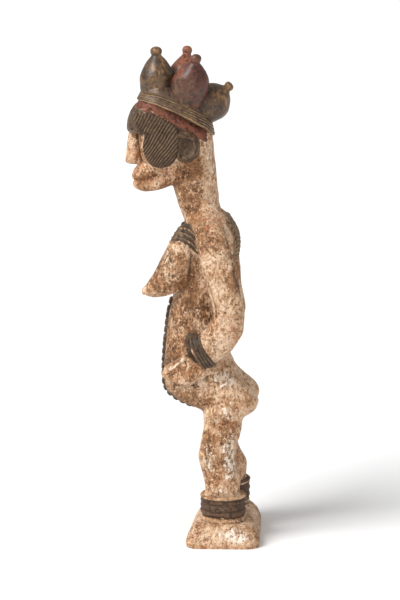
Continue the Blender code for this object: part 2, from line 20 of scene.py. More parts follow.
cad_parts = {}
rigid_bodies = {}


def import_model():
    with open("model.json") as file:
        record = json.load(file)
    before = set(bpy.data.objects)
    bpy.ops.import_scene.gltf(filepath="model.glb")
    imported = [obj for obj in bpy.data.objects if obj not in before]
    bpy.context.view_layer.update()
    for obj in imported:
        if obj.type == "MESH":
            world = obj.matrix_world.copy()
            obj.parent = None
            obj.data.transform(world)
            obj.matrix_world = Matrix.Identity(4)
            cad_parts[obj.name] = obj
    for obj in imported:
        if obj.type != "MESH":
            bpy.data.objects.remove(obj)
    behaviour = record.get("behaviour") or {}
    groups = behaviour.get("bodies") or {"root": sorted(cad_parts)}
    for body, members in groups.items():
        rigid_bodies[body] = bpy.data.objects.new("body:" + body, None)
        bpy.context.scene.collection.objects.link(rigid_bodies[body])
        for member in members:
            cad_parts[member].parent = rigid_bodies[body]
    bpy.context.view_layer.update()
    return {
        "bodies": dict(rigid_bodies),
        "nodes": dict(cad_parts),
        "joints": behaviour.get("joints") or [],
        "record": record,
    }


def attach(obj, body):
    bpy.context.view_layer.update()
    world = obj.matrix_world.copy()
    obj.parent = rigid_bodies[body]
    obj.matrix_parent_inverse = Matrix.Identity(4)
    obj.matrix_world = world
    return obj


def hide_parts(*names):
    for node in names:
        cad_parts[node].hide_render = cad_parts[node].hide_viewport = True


MM = 0.001
NODE = "carved_figure"
BODY = "root"
WEIGHT_STEPS = 20
LOG = logging.getLogger("carved_figure_looks")
UNSEEN = 1e9

Point = tuple[float, float, float]
Flat = tuple[float, float]
Colour = tuple[float, float, float, float]
Piece = bpy.types.Object
Tree = bpy.types.NodeTree
Array = np.ndarray
Where = Callable[[Array], Array]


class Side(Enum):
    """The figure's left side is +X."""

    LEFT = 1
    RIGHT = -1

    @property
    def word(self) -> str:
        """Name of the side in small letters."""
        return self.name.lower()


class Mask(Enum):
    """Point attributes that the finishes read."""

    # Hollows, painted dark for dirt and painted shade.
    CREVICE = "crevice"
    # Raised edges, painted as worn paint and painted highlight.
    RIDGE = "ridge"
    PATINA = "patina"
    # Dirt and painted shade on the chalk coat.
    SOIL = "soil"
    CHALK = "chalk"
    RUST = "rust"
    RED = "red"


# --- working in edit and object mode ---


def deselect() -> None:
    """Leave edit mode and clear the selection."""
    if bpy.context.object and bpy.context.object.mode != "OBJECT":
        bpy.ops.object.mode_set(mode="OBJECT")
    bpy.ops.object.select_all(action="DESELECT")


def pick(*objects: Piece) -> None:
    """Select these objects alone and make the first one active.

    Args:
        objects: the objects to select.
    """
    deselect()
    for item in objects:
        item.select_set(True)
    bpy.context.view_layer.objects.active = objects[0]


def edit(piece: Piece, action: str = "SELECT") -> None:
    """Go into edit mode on a piece.

    Args:
        piece: the mesh object.
        action: what is done to the selection first.
    """
    pick(piece)
    bpy.ops.object.mode_set(mode="EDIT")
    bpy.ops.mesh.select_all(action=action)


def turn_faces_out() -> None:
    """Turn every face outwards and leave edit mode."""
    bpy.ops.mesh.select_all(action="SELECT")
    bpy.ops.mesh.normals_make_consistent(inside=False)
    bpy.ops.object.mode_set(mode="OBJECT")


def linked(name: str, data: bpy.types.ID) -> Piece:
    """Make an object from its data and put it in the scene.

    Args:
        name: name of the object.
        data: its mesh, curve, light or camera.

    Returns:
        The object.
    """
    item = bpy.data.objects.new(name, data)
    bpy.context.scene.collection.objects.link(item)
    return item


def apply_modifier(piece: Piece, kind: str, **settings: object) -> None:
    """Add a modifier with its settings and apply it.

    Args:
        piece: the object to change.
        kind: Blender's name of the modifier type.
        settings: values of the modifier's properties.
    """
    pick(piece)
    modifier = piece.modifiers.new(kind.lower(), kind)
    for key, value in settings.items():
        setattr(modifier, key, value)
    bpy.ops.object.modifier_apply(modifier=modifier.name)


def fused(
    pieces: Sequence[Piece], name: str, voxel: float, passes: int = 0, factor: float = 0.5
) -> Piece:
    """Join pieces into one closed skin, as if cut from one block.

    Args:
        pieces: closed meshes that overlap.
        name: name of the result.
        voxel: size of the skin's cells in metres.
        passes: how often it is smoothed afterwards.
        factor: how strongly.

    Returns:
        The fused object.
    """
    pick(*pieces)
    if len(pieces) > 1:
        bpy.ops.object.join()
    result = bpy.context.object
    result.name = name
    result.data.name = name
    apply_modifier(result, "REMESH", mode="VOXEL", voxel_size=voxel, use_smooth_shade=True)
    if passes:
        apply_modifier(result, "SMOOTH", factor=factor, iterations=passes)
    return result


def rows_of(items: bpy.types.bpy_prop_collection, key: str) -> Array:
    """Read three numbers of each item.

    Args:
        items: a mesh's vertices or vertex normals.
        key: what is read.

    Returns:
        One row each.
    """
    values = np.empty(len(items) * 3, dtype=np.float32)
    items.foreach_get(key, values)
    return values.reshape(-1, 3).astype(np.float64)


def points_of(piece: Piece) -> Array:
    """Vertex positions in millimetres, one row each."""
    return rows_of(piece.data.vertices, "co") / MM


def normals_of(piece: Piece) -> Array:
    """Vertex normals, one row each."""
    return rows_of(piece.data.vertex_normals, "vector")


def move_points(piece: Piece, points: Array) -> None:
    """Put the vertices at these positions, given in millimetres."""
    piece.data.vertices.foreach_set("co", (points * MM).ravel())
    piece.data.update()


def paint(piece: Piece, mask: Mask, values: float | Array) -> None:
    """Write a mask as a point attribute, held between 0 and 1.

    Args:
        piece: the object to paint.
        mask: which mask it is.
        values: one value for each vertex, or one for all.
    """
    layer = piece.data.attributes.get(mask.value)
    if layer is None:
        layer = piece.data.attributes.new(mask.value, "FLOAT", "POINT")
    held = np.broadcast_to(np.clip(values, 0.0, 1.0), len(piece.data.vertices))
    layer.data.foreach_set("value", held.astype(np.float32))


def paint_masks(piece: Piece, **masks: float | Array) -> None:
    """Paint several masks.

    Args:
        piece: the object to paint.
        masks: each mask's word and its values.
    """
    for word, value in masks.items():
        paint(piece, Mask(word), value)


def group_weights(piece: Piece, name: str, weights: Array) -> str:
    """Store weights as a vertex group, in steps, and return its name.

    Args:
        piece: the object.
        name: name of the vertex group.
        weights: one weight for each vertex, 0 to 1.

    Returns:
        The group's name.
    """
    layer = piece.vertex_groups.new(name=name)
    steps = np.round(np.clip(weights, 0.0, 1.0) * WEIGHT_STEPS).astype(int)
    for step in range(1, WEIGHT_STEPS + 1):
        chosen = np.nonzero(steps == step)[0]
        if len(chosen):
            layer.add(chosen.tolist(), step / WEIGHT_STEPS, "REPLACE")
    return name


def averaged(piece: Piece, values: Array, passes: int) -> Array:
    """Average values with those of the neighbouring vertices.

    Args:
        piece: the object whose edges say which vertices are neighbours.
        values: one row for each vertex.
        passes: how often to average.

    Returns:
        The averaged rows.
    """
    mesh = piece.data
    count = len(mesh.vertices)
    ends = np.empty(len(mesh.edges) * 2, dtype=np.int32)
    mesh.edges.foreach_get("vertices", ends)
    first, second = ends.reshape(-1, 2).T
    share = np.bincount(ends, minlength=count)[:, None]
    rows = values.copy()
    for _ in range(passes):
        total = np.empty_like(rows)
        for column in range(rows.shape[1]):
            total[:, column] = np.bincount(first, rows[second, column], count)
            total[:, column] += np.bincount(second, rows[first, column], count)
        rows = total / share
    return rows


def paint_relief(
    piece: Piece,
    passes: int,
    depth: float | Array,
    shade: float | Array = 0.0,
    ridge_share: float | Array = 1.0,
) -> None:
    """Paint hollows as crevice, for dirt and painted shade, and raised edges as ridge, for worn
    paint and painted highlight, from the form itself.

    Args:
        piece: the object to paint.
        passes: how wide a neighbourhood counts.
        depth: how deep a hollow in millimetres paints in full.
        shade: painted shade added to the crevices.
        ridge_share: share of the ridges that is painted.
    """
    points = points_of(piece)
    hollow = ((averaged(piece, points, passes) - points) * normals_of(piece)).sum(axis=1)
    paint(piece, Mask.CREVICE, hollow / depth + shade)
    paint(piece, Mask.RIDGE, -hollow / depth * ridge_share)


def ease(low: float, high: float, values: Array) -> Array:
    """Rise smoothly from 0 at low to 1 at high."""
    share = np.clip((values - low) / (high - low), 0.0, 1.0)
    return share * share * (3.0 - 2.0 * share)


def wander(points: Array, wavelength: float, seed: float = 0.0) -> Array:
    """Slow smooth variation between about -1 and 1, the same at every run.

    Args:
        points: positions in millimetres.
        wavelength: size of one rise and fall in millimetres.
        seed: shifts the pattern.

    Returns:
        One value for each point.
    """
    x, y, z = (points * (2.0 * math.pi / wavelength)).T
    mixed = np.sin(x + 1.3 * np.sin(y + seed)) + np.sin(y * 1.1 + 1.7 * np.sin(z * 0.9 + seed))
    return (mixed + np.sin(z + 1.1 * np.sin(x * 0.8 + 2.0 * seed))) / 2.4


@dataclass(frozen=True)
class Dab:
    """A soft-edged touch of a mask on the skin.

    Attributes:
        place: its middle in millimetres.
        reach: its half sizes in millimetres.
        amount: how much it adds.
    """

    place: Point
    reach: Point
    amount: float = 1.0

    def on(self, points: Array) -> Array:
        """How strongly it covers each point."""
        apart = (points - np.array(self.place)) / np.array(self.reach)
        return self.amount * ease(1.15, 0.75, np.sqrt((apart**2).sum(axis=1)))


def dabbed(points: Array, dabs: Sequence[Dab]) -> Array:
    """Add up dabs over the points, broken up a little so that no edge is a clean oval.

    Args:
        points: positions in millimetres.
        dabs: the dabs.

    Returns:
        The sum at each point.
    """
    ragged = points + 2.2 * np.stack([wander(points, 17.0, s) for s in (0.3, 1.9, 4.1)], axis=1)
    total = np.zeros(len(points))
    for dab in dabs:
        total += dab.on(ragged)
    return total


def rows_of_dabs(*rows: tuple[float, ...]) -> list[Dab]:
    """Dabs from rows of a middle, half sizes and, where it isn't 1, an amount."""
    return [Dab(row[:3], row[3:6], *row[6:]) for row in rows]


def both_sides(*rows: tuple[float, ...]) -> list[Dab]:
    """Dabs from rows for the left side, and their mirror images."""
    return rows_of_dabs(*rows, *((-row[0], *row[1:]) for row in rows))


# --- basic carved forms ---


def turned(name: str, profile: Sequence[Flat], sides: int) -> Piece:
    """Turn a closed form about Z from radius and height pairs in millimetres.

    Args:
        name: name of the object.
        profile: radius and height, from the foot up.
        sides: how many sides it has.

    Returns:
        The object, standing at the origin.
    """
    deselect()
    radius, height = profile[0]
    bpy.ops.mesh.primitive_circle_add(
        vertices=sides, radius=radius * MM, fill_type="NGON", location=(0, 0, height * MM)
    )
    piece = bpy.context.object
    piece.name = name
    bpy.ops.object.transform_apply(location=True, rotation=False, scale=False)
    edit(piece)
    for next_radius, next_height in profile[1:]:
        bpy.ops.mesh.extrude_region_move(
            TRANSFORM_OT_translate={"value": (0, 0, (next_height - height) * MM)}
        )
        grow = next_radius / radius
        bpy.ops.transform.resize(value=(grow, grow, 1), center_override=(0, 0, 0))
        radius, height = next_radius, next_height
    turn_faces_out()
    return piece


def set_down(piece: Piece, base: Point, axis: Point) -> None:
    """Stand a turned form on a point in millimetres, along an axis, and apply its place."""
    turn = Vector((0, 0, 1)).rotation_difference(Vector(axis).normalized()).to_matrix().to_4x4()
    piece.data.transform(Matrix.Translation(Vector(base) * MM) @ turn)


def rounded_cord(
    name: str, path: Sequence[Point], radius: float, closed: bool = False, taper: bool = False
) -> Piece:
    """Run a round cord along a path and make it a mesh.

    Args:
        name: name of the object.
        path: points in millimetres.
        radius: its radius in millimetres.
        closed: joins the last point to the first.
        taper: thins the two ends.

    Returns:
        The mesh object.
    """
    curve = bpy.data.curves.new(name, "CURVE")
    curve.dimensions = "3D"
    curve.bevel_depth = radius * MM
    curve.bevel_resolution = 3
    curve.use_fill_caps = not closed
    spline = curve.splines.new("POLY")
    spline.points.add(len(path) - 1)
    last = len(path) - 1
    for index, (x, y, z) in enumerate(path):
        spline.points[index].co = (x * MM, y * MM, z * MM, 1.0)
        if taper:
            spline.points[index].radius = 0.35 + 0.65 * math.sin(math.pi * index / last) ** 0.5
    spline.use_cyclic_u = closed
    pick(linked(name, curve))
    bpy.ops.object.convert(target="MESH")
    return bpy.context.object


def smooth_path(path: Sequence[Point], steps: int) -> list[Point]:
    """Run a smooth curve through points.

    Args:
        path: the points.
        steps: points for each span.

    Returns:
        The denser path.
    """
    rows = [Vector(point) for point in path]
    dense = []
    for index in range(len(rows) - 1):
        a, b = rows[max(index - 1, 0)], rows[index]
        c, d = rows[index + 1], rows[min(index + 2, len(rows) - 1)]
        for step in range(steps):
            t = step / steps
            bent = c - a + t * (2 * a - 5 * b + 4 * c - d + t * (3 * (b - c) + d - a))
            dense.append(tuple(b + 0.5 * t * bent))
    dense.append(tuple(rows[-1]))
    return dense


def smooth_flat(path: Sequence[Flat], steps: int) -> Array:
    """Run a smooth curve through flat points, and return it as rows."""
    return np.array(smooth_path([(a, b, 0.0) for a, b in path], steps))[:, :2]


def whole_turn(count: int) -> list[float]:
    """Angles of a whole turn in equal steps."""
    return [2 * math.pi * step / count for step in range(count)]


def squarish(share: float, power: float) -> float:
    """Swell a sine or cosine towards a square's, for a fuller oval."""
    return math.copysign(abs(share) ** power, share)


@dataclass
class Skin:
    """Finds where the carved skin lies, so that relief can be laid on it."""

    piece: Piece
    tree: BVHTree = field(init=False)

    def __post_init__(self) -> None:
        """Index the skin's faces."""
        mesh = self.piece.data
        corners = [vertex.co.copy() for vertex in mesh.vertices]
        self.tree = BVHTree.FromPolygons(corners, [tuple(face.vertices) for face in mesh.polygons])

    def from_side(self, start: Point, way: Point) -> Vector | None:
        """Where a straight look from a point meets the skin, in millimetres."""
        hit = self.tree.ray_cast(Vector(start) * MM, Vector(way))[0]
        return hit / MM if hit else None


Relief = Callable[[Array, Array, Array], Array]


@dataclass
class ReliefSheet:
    """A thin carved sheet with relief, laid on the skin and rooted in it.

    Attributes:
        name: name of the piece.
        outline: its edge as pairs across the look, in millimetres.
        centre: a point that sees the whole outline.
        axis: the axis it faces, 0 for X or 1 for Y.
        relief: height above the skin from the two flat coordinates and the share to the edge.
        rings: how many rings it is divided into.
        sides: how many sides each ring has.
        root: how deep its edge goes into the skin.
        plane: where it lies along its axis, for a sheet that stands clear of the skin.
        far: how far out the look at the skin starts, in millimetres.
        behind: a look that meets nothing before this place along the axis has missed.
    """

    name: str
    outline: Sequence[Flat]
    centre: Flat
    axis: int
    relief: Relief
    rings: int = 60
    sides: int = 300
    root: float = 4.0
    plane: Where | None = None
    far: float = 200.0
    behind: float = -40.0

    def disc(self) -> Piece:
        """Draw a flat round web of rings by extruding its edge towards the middle.

        Returns:
            The web, one metre in radius.
        """
        deselect()
        bpy.ops.mesh.primitive_circle_add(vertices=self.sides, radius=1.0, fill_type="NOTHING")
        piece = bpy.context.object
        piece.name = self.name
        edit(piece)
        for ring in range(1, self.rings):
            shrink = (self.rings - ring) / (self.rings - ring + 1)
            bpy.ops.mesh.extrude_region_move()
            bpy.ops.transform.resize(value=(shrink, shrink, 1), center_override=(0, 0, 0))
        bpy.ops.mesh.edge_face_add()
        bpy.ops.mesh.poke()
        bpy.ops.object.mode_set(mode="OBJECT")
        return piece

    def reach(self, angles: Array) -> Array:
        """Measure from the centre to the outline.

        Args:
            angles: the ways to measure.

        Returns:
            The distance at each angle.
        """
        edge = [*self.outline[-2:], *self.outline, *self.outline[:3]]
        apart = smooth_flat(edge, 8) - np.array(self.centre)
        around = np.unwrap(np.arctan2(apart[:, 1], apart[:, 0]))
        if around[-1] < around[0]:
            around, apart = around[::-1], apart[::-1]
        wanted = np.mod(angles - around[8], 2 * math.pi) + around[8]
        return np.interp(wanted, around, np.hypot(apart[:, 0], apart[:, 1]))

    def build(self, skin: Skin | None = None) -> Piece:
        """Mould the web to the outline and the skin, give it its relief and close it behind.

        Args:
            skin: the skin it lies on, where it has no plane.

        Returns:
            The closed piece.
        """
        piece = self.disc()
        flat = points_of(piece) * MM
        share = np.hypot(flat[:, 0], flat[:, 1])
        angles = np.arctan2(flat[:, 1], flat[:, 0])
        spread = share * self.reach(angles)
        across = self.centre[0] + spread * np.cos(angles)
        up = self.centre[1] + spread * np.sin(angles)
        ground = self.plane(across) if self.plane else self.ground(skin, across, up)
        height = self.relief(across, up, share)
        lost = ease(0.95, 1.0, share)
        height = height * (1 - lost) - self.root * lost
        out = ground + height
        columns = [out, across, up] if self.axis == 0 else [across, out, up]
        move_points(piece, np.stack(columns, axis=1))
        self.close(piece)
        return piece

    def ground(self, skin: Skin, across: Array, up: Array) -> Array:
        """Find where the skin lies under each point.

        Args:
            skin: the skin.
            across: first flat coordinate of each point.
            up: second flat coordinate.

        Returns:
            The skin's place along the sheet's axis.
        """
        found = np.full(len(across), np.nan)
        for index, (a, b) in enumerate(zip(across, up)):
            if self.axis == 0:
                hit = skin.from_side((self.far, a, b), (-1, 0, 0))
            else:
                hit = skin.from_side((a, self.far, b), (0, -1, 0))
            if hit is not None and hit[self.axis] > self.behind:
                found[index] = hit[self.axis]
        return np.where(np.isnan(found), np.nanmin(found), found)

    def close(self, piece: Piece) -> None:
        """Close the sheet behind by drawing its edge in and filling it.

        Args:
            piece: the open sheet.
        """
        back = [0.0, 0.0, 0.0]
        back[self.axis] = -self.root * MM
        edit(piece, "DESELECT")
        bpy.ops.mesh.select_mode(type="EDGE")
        bpy.ops.mesh.select_non_manifold()
        bpy.ops.mesh.extrude_region_move(TRANSFORM_OT_translate={"value": back})
        bpy.ops.mesh.edge_face_add()
        bpy.ops.mesh.select_mode(type="VERT")
        turn_faces_out()
        bpy.ops.object.shade_smooth()


# --- node work ---


@dataclass
class Sheet:
    """A node tree with short ways to add and join its nodes."""

    tree: Tree

    def add(self, kind: str, **values: object) -> bpy.types.Node:
        """Add a node.

        Args:
            kind: Blender's name of the node type.
            values: values of the node's properties.

        Returns:
            The node.
        """
        node = self.tree.nodes.new(kind)
        for key, value in values.items():
            setattr(node, key, value)
        return node

    def feed(self, socket: bpy.types.NodeSocket, source: object) -> None:
        """Join a socket to a source, or set it where the source is a plain value.

        Args:
            socket: the input to feed.
            source: an output, or a value.
        """
        if isinstance(source, bpy.types.NodeSocket):
            self.tree.links.new(source, socket)
        else:
            socket.default_value = source

    def math(self, operation: str, first: object, second: object) -> object:
        """Take one step of arithmetic.

        Args:
            operation: Blender's name of the step.
            first: the first value.
            second: the second value.

        Returns:
            The result's socket.
        """
        node = self.add("ShaderNodeMath", operation=operation)
        self.feed(node.inputs[0], first)
        self.feed(node.inputs[1], second)
        return node.outputs[0]

    def times(self, first: object, second: object) -> object:
        """Multiply two values."""
        return self.math("MULTIPLY", first, second)

    def plus(self, first: object, second: object) -> object:
        """Add two values."""
        return self.math("ADD", first, second)

    def minus(self, first: object, second: object) -> object:
        """Take the second value from the first."""
        return self.math("SUBTRACT", first, second)

    def span(
        self, value: object, low: object, high: object, start: float = 0.0, end: float = 1.0
    ) -> object:
        """Map a value from one span to another, smoothly and held at both ends.

        Args:
            value: the value.
            low: where it starts to change.
            high: where it stops changing.
            start: the result at low.
            end: the result at high.

        Returns:
            The result's socket.
        """
        node = self.add("ShaderNodeMapRange", interpolation_type="SMOOTHSTEP", clamp=True)
        for name, source in zip(("Value", "From Min", "From Max", "To Min", "To Max"),
                                (value, low, high, start, end)):
            self.feed(node.inputs[name], source)
        return node.outputs["Result"]

    def mix(self, share: object, first: object, second: object) -> object:
        """Mix two colours.

        Args:
            share: share of the second colour.
            first: the first colour.
            second: the second colour.

        Returns:
            The mixed colour's socket.
        """
        node = self.add("ShaderNodeMix", data_type="RGBA")
        self.feed(node.inputs[0], share)
        self.feed(node.inputs[6], first)
        self.feed(node.inputs[7], second)
        return node.outputs[2]

    def noise(
        self, place: object, scale: object, detail: float, rough: float = 0.55, bend: float = 0.0
    ) -> object:
        """Read soft noise.

        Args:
            place: where it is read.
            scale: cycles for each metre.
            detail: how many finer layers it has.
            rough: how strong the finer layers are.
            bend: how far it is warped.

        Returns:
            The noise's socket.
        """
        node = self.add("ShaderNodeTexNoise", noise_dimensions="3D")
        for name, source in (("Vector", place), ("Scale", scale), ("Detail", detail),
                             ("Roughness", rough), ("Distortion", bend)):
            self.feed(node.inputs[name], source)
        return node.outputs["Fac"]

    def stretched(self, place: object, scale: Point, shift: Point = (0.0, 0.0, 0.0)) -> object:
        """Stretch and shift the place a pattern is read at.

        Args:
            place: the place.
            scale: factor along each axis.
            shift: what is added along each axis.

        Returns:
            The new place's socket.
        """
        node = self.add("ShaderNodeMapping")
        self.feed(node.inputs["Vector"], place)
        node.inputs["Scale"].default_value = scale
        node.inputs["Location"].default_value = shift
        return node.outputs["Vector"]

    def attribute(self, mask: Mask) -> object:
        """Read a painted mask."""
        return self.add("ShaderNodeAttribute", attribute_name=mask.value).outputs["Fac"]


def new_group(
    name: str, inputs: dict[str, object], outputs: Sequence[str]
) -> tuple[Sheet, bpy.types.NodeOutputs, bpy.types.NodeInputs]:
    """Make an empty shader node group with named sockets.

    Args:
        name: name of the group.
        inputs: each input's name and its first value; a tuple makes a colour.
        outputs: output names; one that ends in Color is a colour.

    Returns:
        Its sheet, and the sockets of its input and output nodes.
    """
    tree = bpy.data.node_groups.new(name, "ShaderNodeTree")
    for key, value in inputs.items():
        if key == "Place":
            kind = "NodeSocketVector"
        else:
            kind = "NodeSocketColor" if isinstance(value, tuple) else "NodeSocketFloat"
        socket = tree.interface.new_socket(name=key, in_out="INPUT", socket_type=kind)
        if key != "Place":
            socket.default_value = value
    for key in outputs:
        kind = "NodeSocketColor" if key.endswith("Color") else "NodeSocketFloat"
        tree.interface.new_socket(name=key, in_out="OUTPUT", socket_type=kind)
    sheet = Sheet(tree)
    return sheet, sheet.add("NodeGroupInput").outputs, sheet.add("NodeGroupOutput").inputs


def srgb(red: int, green: int, blue: int) -> Colour:
    """Colour for the shader from picture values.

    Args:
        red: red, 0 to 255.
        green: green, 0 to 255.
        blue: blue, 0 to 255.

    Returns:
        The linear colour.
    """

    def linear(value: int) -> float:
        """One linear channel."""
        share = value / 255.0
        return share / 12.92 if share <= 0.04045 else ((share + 0.055) / 1.055) ** 2.4

    return (linear(red), linear(green), linear(blue), 1.0)


def flaked_coat_group() -> Tree:
    """Chalk coat over wood, worn in many tones and specks, with crusts left in patches.

    Returns:
        The group.
    """
    sheet, ins, outs = new_group(
        "flaked_coat",
        {
            "Place": (0.0, 0.0, 0.0), "Soil": 0.0, "Crust": 0.0, "Rust": 0.0, "Speck Scale": 430.0,
            "Speck Share": 0.5, "Coat": srgb(230, 203, 175), "Crust Coat": srgb(247, 233, 217),
            "Tan": srgb(203, 165, 128), "Brown": srgb(160, 112, 74), "Wood": srgb(112, 76, 49),
            "Pit": srgb(62, 43, 29), "Rust Tint": srgb(172, 104, 60),
        },
        ["Color", "Height", "Roughness"],
    )
    place = ins["Place"]
    cloudy = sheet.noise(place, 42.0, 4.0, 0.6, 0.3)
    drawn = sheet.stretched(place, (1.0, 1.0, 0.7), (1.7, 0.3, 2.2))
    calm = sheet.noise(drawn, 70.0, 4.0, 0.62, 0.4)
    tone = sheet.noise(sheet.stretched(place, (1.0, 1.0, 0.8)), 270.0, 6.0, 0.72, 0.35)
    drawn = sheet.stretched(place, (1.0, 1.0, 1.0), (0.7, 0.2, 0.9))
    mottled = sheet.noise(drawn, 150.0, 5.0, 0.7, 0.3)
    specks = sheet.noise(place, ins["Speck Scale"], 2.5, 0.6, 0.35)
    fine = sheet.noise(place, 1050.0, 2.0, 0.6)
    sunk = sheet.span(cloudy, 0.36, 0.66, 0.024, -0.022)
    # Dirt and painted shade sink the tone and brown the coat.
    sunk = sheet.plus(sheet.times(ins["Soil"], 0.105), sunk)
    tone = sheet.minus(tone, sunk)
    rusted = sheet.times(sheet.span(mottled, 0.40, 0.58, 0.1, 1.0), ins["Rust"])
    color = sheet.mix(sheet.times(rusted, 0.55), ins["Coat"], ins["Rust Tint"])
    tan = sheet.mix(rusted, ins["Tan"], ins["Rust Tint"])
    clouded = sheet.minus(cloudy, sheet.times(ins["Soil"], 0.17))
    settled = sheet.mix(sheet.span(clouded, 0.54, 0.36), color, tan)
    settled = sheet.mix(sheet.span(clouded, 0.40, 0.26), settled, ins["Brown"])
    color = sheet.mix(sheet.span(tone, 0.56, 0.46), color, tan)
    color = sheet.mix(sheet.span(tone, 0.475, 0.40), color, ins["Brown"])
    color = sheet.mix(sheet.span(tone, 0.42, 0.36), color, ins["Wood"])
    color = sheet.mix(sheet.span(tone, 0.37, 0.31, 0.0, 0.9), color, ins["Pit"])
    color = sheet.mix(sheet.span(calm, 0.40, 0.64, 0.08, 0.66), color, settled)
    worn = sheet.plus(0.366, sheet.times(ins["Soil"], 0.085))
    share = sheet.times(sheet.minus(ins["Speck Share"], 0.5), 0.2)
    depth = sheet.minus(sheet.plus(worn, share), specks)
    bare = sheet.span(depth, -0.014, 0.03)
    color = sheet.mix(sheet.times(bare, 0.8), color, ins["Wood"])
    color = sheet.mix(sheet.span(depth, 0.035, 0.09, 0.0, 0.8), color, ins["Pit"])
    drawn = sheet.stretched(place, (1.0, 1.0, 0.8), (3.1, 1.7, 0.4))
    crusty = sheet.noise(drawn, 165.0, 6.0, 0.72, 0.6)
    edge = sheet.minus(0.70, sheet.times(ins["Crust"], 0.22))
    crust = sheet.span(sheet.minus(crusty, edge), -0.01, 0.03)
    crust = sheet.times(crust, sheet.span(tone, 0.40, 0.44))
    color = sheet.mix(sheet.times(crust, 0.8), color, ins["Crust Coat"])
    sheet.feed(outs["Color"], color)
    worn_off = sheet.span(tone, 0.45, 0.38)
    height = sheet.minus(1.0, sheet.times(bare, 0.7))
    height = sheet.minus(height, sheet.times(worn_off, 0.8))
    height = sheet.plus(height, sheet.times(crust, 0.7))
    height = sheet.plus(height, sheet.times(fine, 0.4))
    sheet.feed(outs["Height"], height)
    bared = sheet.math("MAXIMUM", bare, worn_off)
    sheet.feed(outs["Roughness"], sheet.span(bared, 0.0, 1.0, 0.85, 0.58))
    return sheet.tree


def worn_relief_group() -> Tree:
    """Painted shade and dirt in hollows, and worn paint with painted highlight on raised edges,
    over any colour.

    Returns:
        The group.
    """
    sheet, ins, outs = new_group(
        "relief_dirt_shade_and_highlight",
        {
            "Place": (0.0, 0.0, 0.0), "Under": (0.5, 0.4, 0.3, 1.0), "Crevice": 0.0, "Ridge": 0.0,
            # Hollows get a dark colour for dirt and painted shade; raised edges their own colour
            # for worn paint and painted highlight.
            "Dirt": srgb(58, 42, 30), "Rubbed": srgb(190, 158, 122), "Dirt Share": 0.8,
            "Rubbed Share": 0.7,
        },
        ["Color"],
    )
    ragged = sheet.noise(ins["Place"], 260.0, 4.0, 0.65, 0.3)
    broad = sheet.noise(ins["Place"], 45.0, 3.0, 0.6)
    dirt_and_shade = sheet.times(sheet.span(ins["Crevice"], 0.05, 0.85), ins["Dirt Share"])
    dirt_and_shade = sheet.times(dirt_and_shade, sheet.span(ragged, 0.2, 0.5, 0.65, 1.0))
    reach = sheet.plus(ins["Ridge"], sheet.span(ragged, 0.3, 0.7, -0.45, 0.25))
    rubbed = sheet.times(sheet.span(reach, 0.2, 0.65), ins["Rubbed Share"])
    rubbed = sheet.times(rubbed, sheet.span(broad, 0.35, 0.6, 0.35, 1.0))
    color = sheet.mix(rubbed, ins["Under"], ins["Rubbed"])
    sheet.feed(outs["Color"], sheet.mix(dirt_and_shade, color, ins["Dirt"]))
    return sheet.tree


def oiled_paint_group() -> Tree:
    """Old oily paint: a dark brown cloud over red or olive, thin enough to show tan wood.

    Returns:
        The group.
    """
    sheet, ins, outs = new_group(
        "oiled_paint",
        {
            "Place": (0.0, 0.0, 0.0), "Red": 0.0, "Dark": srgb(84, 64, 52),
            "Deep": srgb(50, 36, 30), "Warm": srgb(124, 98, 78), "Red Tint": srgb(112, 60, 48),
            "Tan": srgb(170, 128, 84), "Tan Share": 0.4,
        },
        ["Color", "Gloss", "Height"],
    )
    place = ins["Place"]
    cloud = sheet.noise(place, 55.0, 5.0, 0.6, 0.5)
    mottle = sheet.noise(place, 210.0, 4.0, 0.65, 0.4)
    streak = sheet.noise(sheet.stretched(place, (1.0, 1.0, 0.18)), 320.0, 3.0, 0.6, 0.3)
    fine = sheet.noise(place, 1100.0, 2.0, 0.6)
    color = sheet.mix(sheet.span(cloud, 0.36, 0.66), ins["Dark"], ins["Warm"])
    redder = sheet.times(ins["Red"], sheet.span(mottle, 0.22, 0.55, 0.6, 1.0))
    color = sheet.mix(redder, color, ins["Red Tint"])
    color = sheet.mix(sheet.span(mottle, 0.54, 0.36, 0.0, 0.85), color, ins["Deep"])
    patch = sheet.plus(cloud, sheet.span(streak, 0.3, 0.7, -0.08, 0.08))
    edge = sheet.minus(0.80, sheet.times(ins["Tan Share"], 0.30))
    tan = sheet.span(patch, edge, sheet.plus(edge, 0.14))
    tan = sheet.times(tan, sheet.span(mottle, 0.3, 0.55, 0.35, 0.85))
    color = sheet.mix(tan, color, ins["Tan"])
    color = sheet.mix(sheet.span(fine, 0.38, 0.24, 0.0, 0.45), color, ins["Deep"])
    sheet.feed(outs["Color"], color)
    sheet.feed(outs["Gloss"], sheet.span(mottle, 0.3, 0.6, 0.34, 0.56))
    height = sheet.plus(sheet.times(streak, 0.6), sheet.times(mottle, 0.8))
    sheet.feed(outs["Height"], sheet.plus(height, sheet.times(fine, 0.25)))
    return sheet.tree


@dataclass
class Groups:
    """The shared effects, each built once."""

    coat: Tree = field(default_factory=flaked_coat_group)
    relief: Tree = field(default_factory=worn_relief_group)
    oiled: Tree = field(default_factory=oiled_paint_group)


def place_group(sheet: Sheet, group: Tree, **values: object) -> bpy.types.Node:
    """Put a group into a material and feed its inputs.

    Args:
        sheet: the material's sheet.
        group: the group.
        values: input names, with underscores for spaces, and their sources.

    Returns:
        The group's node.
    """
    node = sheet.add("ShaderNodeGroup", node_tree=group)
    for key, value in values.items():
        sheet.feed(node.inputs[key.replace("_", " ")], value)
    return node


def new_material(name: str) -> tuple[bpy.types.Material, Sheet, bpy.types.Node]:
    """Make a material.

    Args:
        name: name of the material.

    Returns:
        The material, its sheet and its Principled shader.
    """
    material = bpy.data.materials.new(name)
    material.use_nodes = True
    sheet = Sheet(material.node_tree)
    return material, sheet, material.node_tree.nodes["Principled BSDF"]


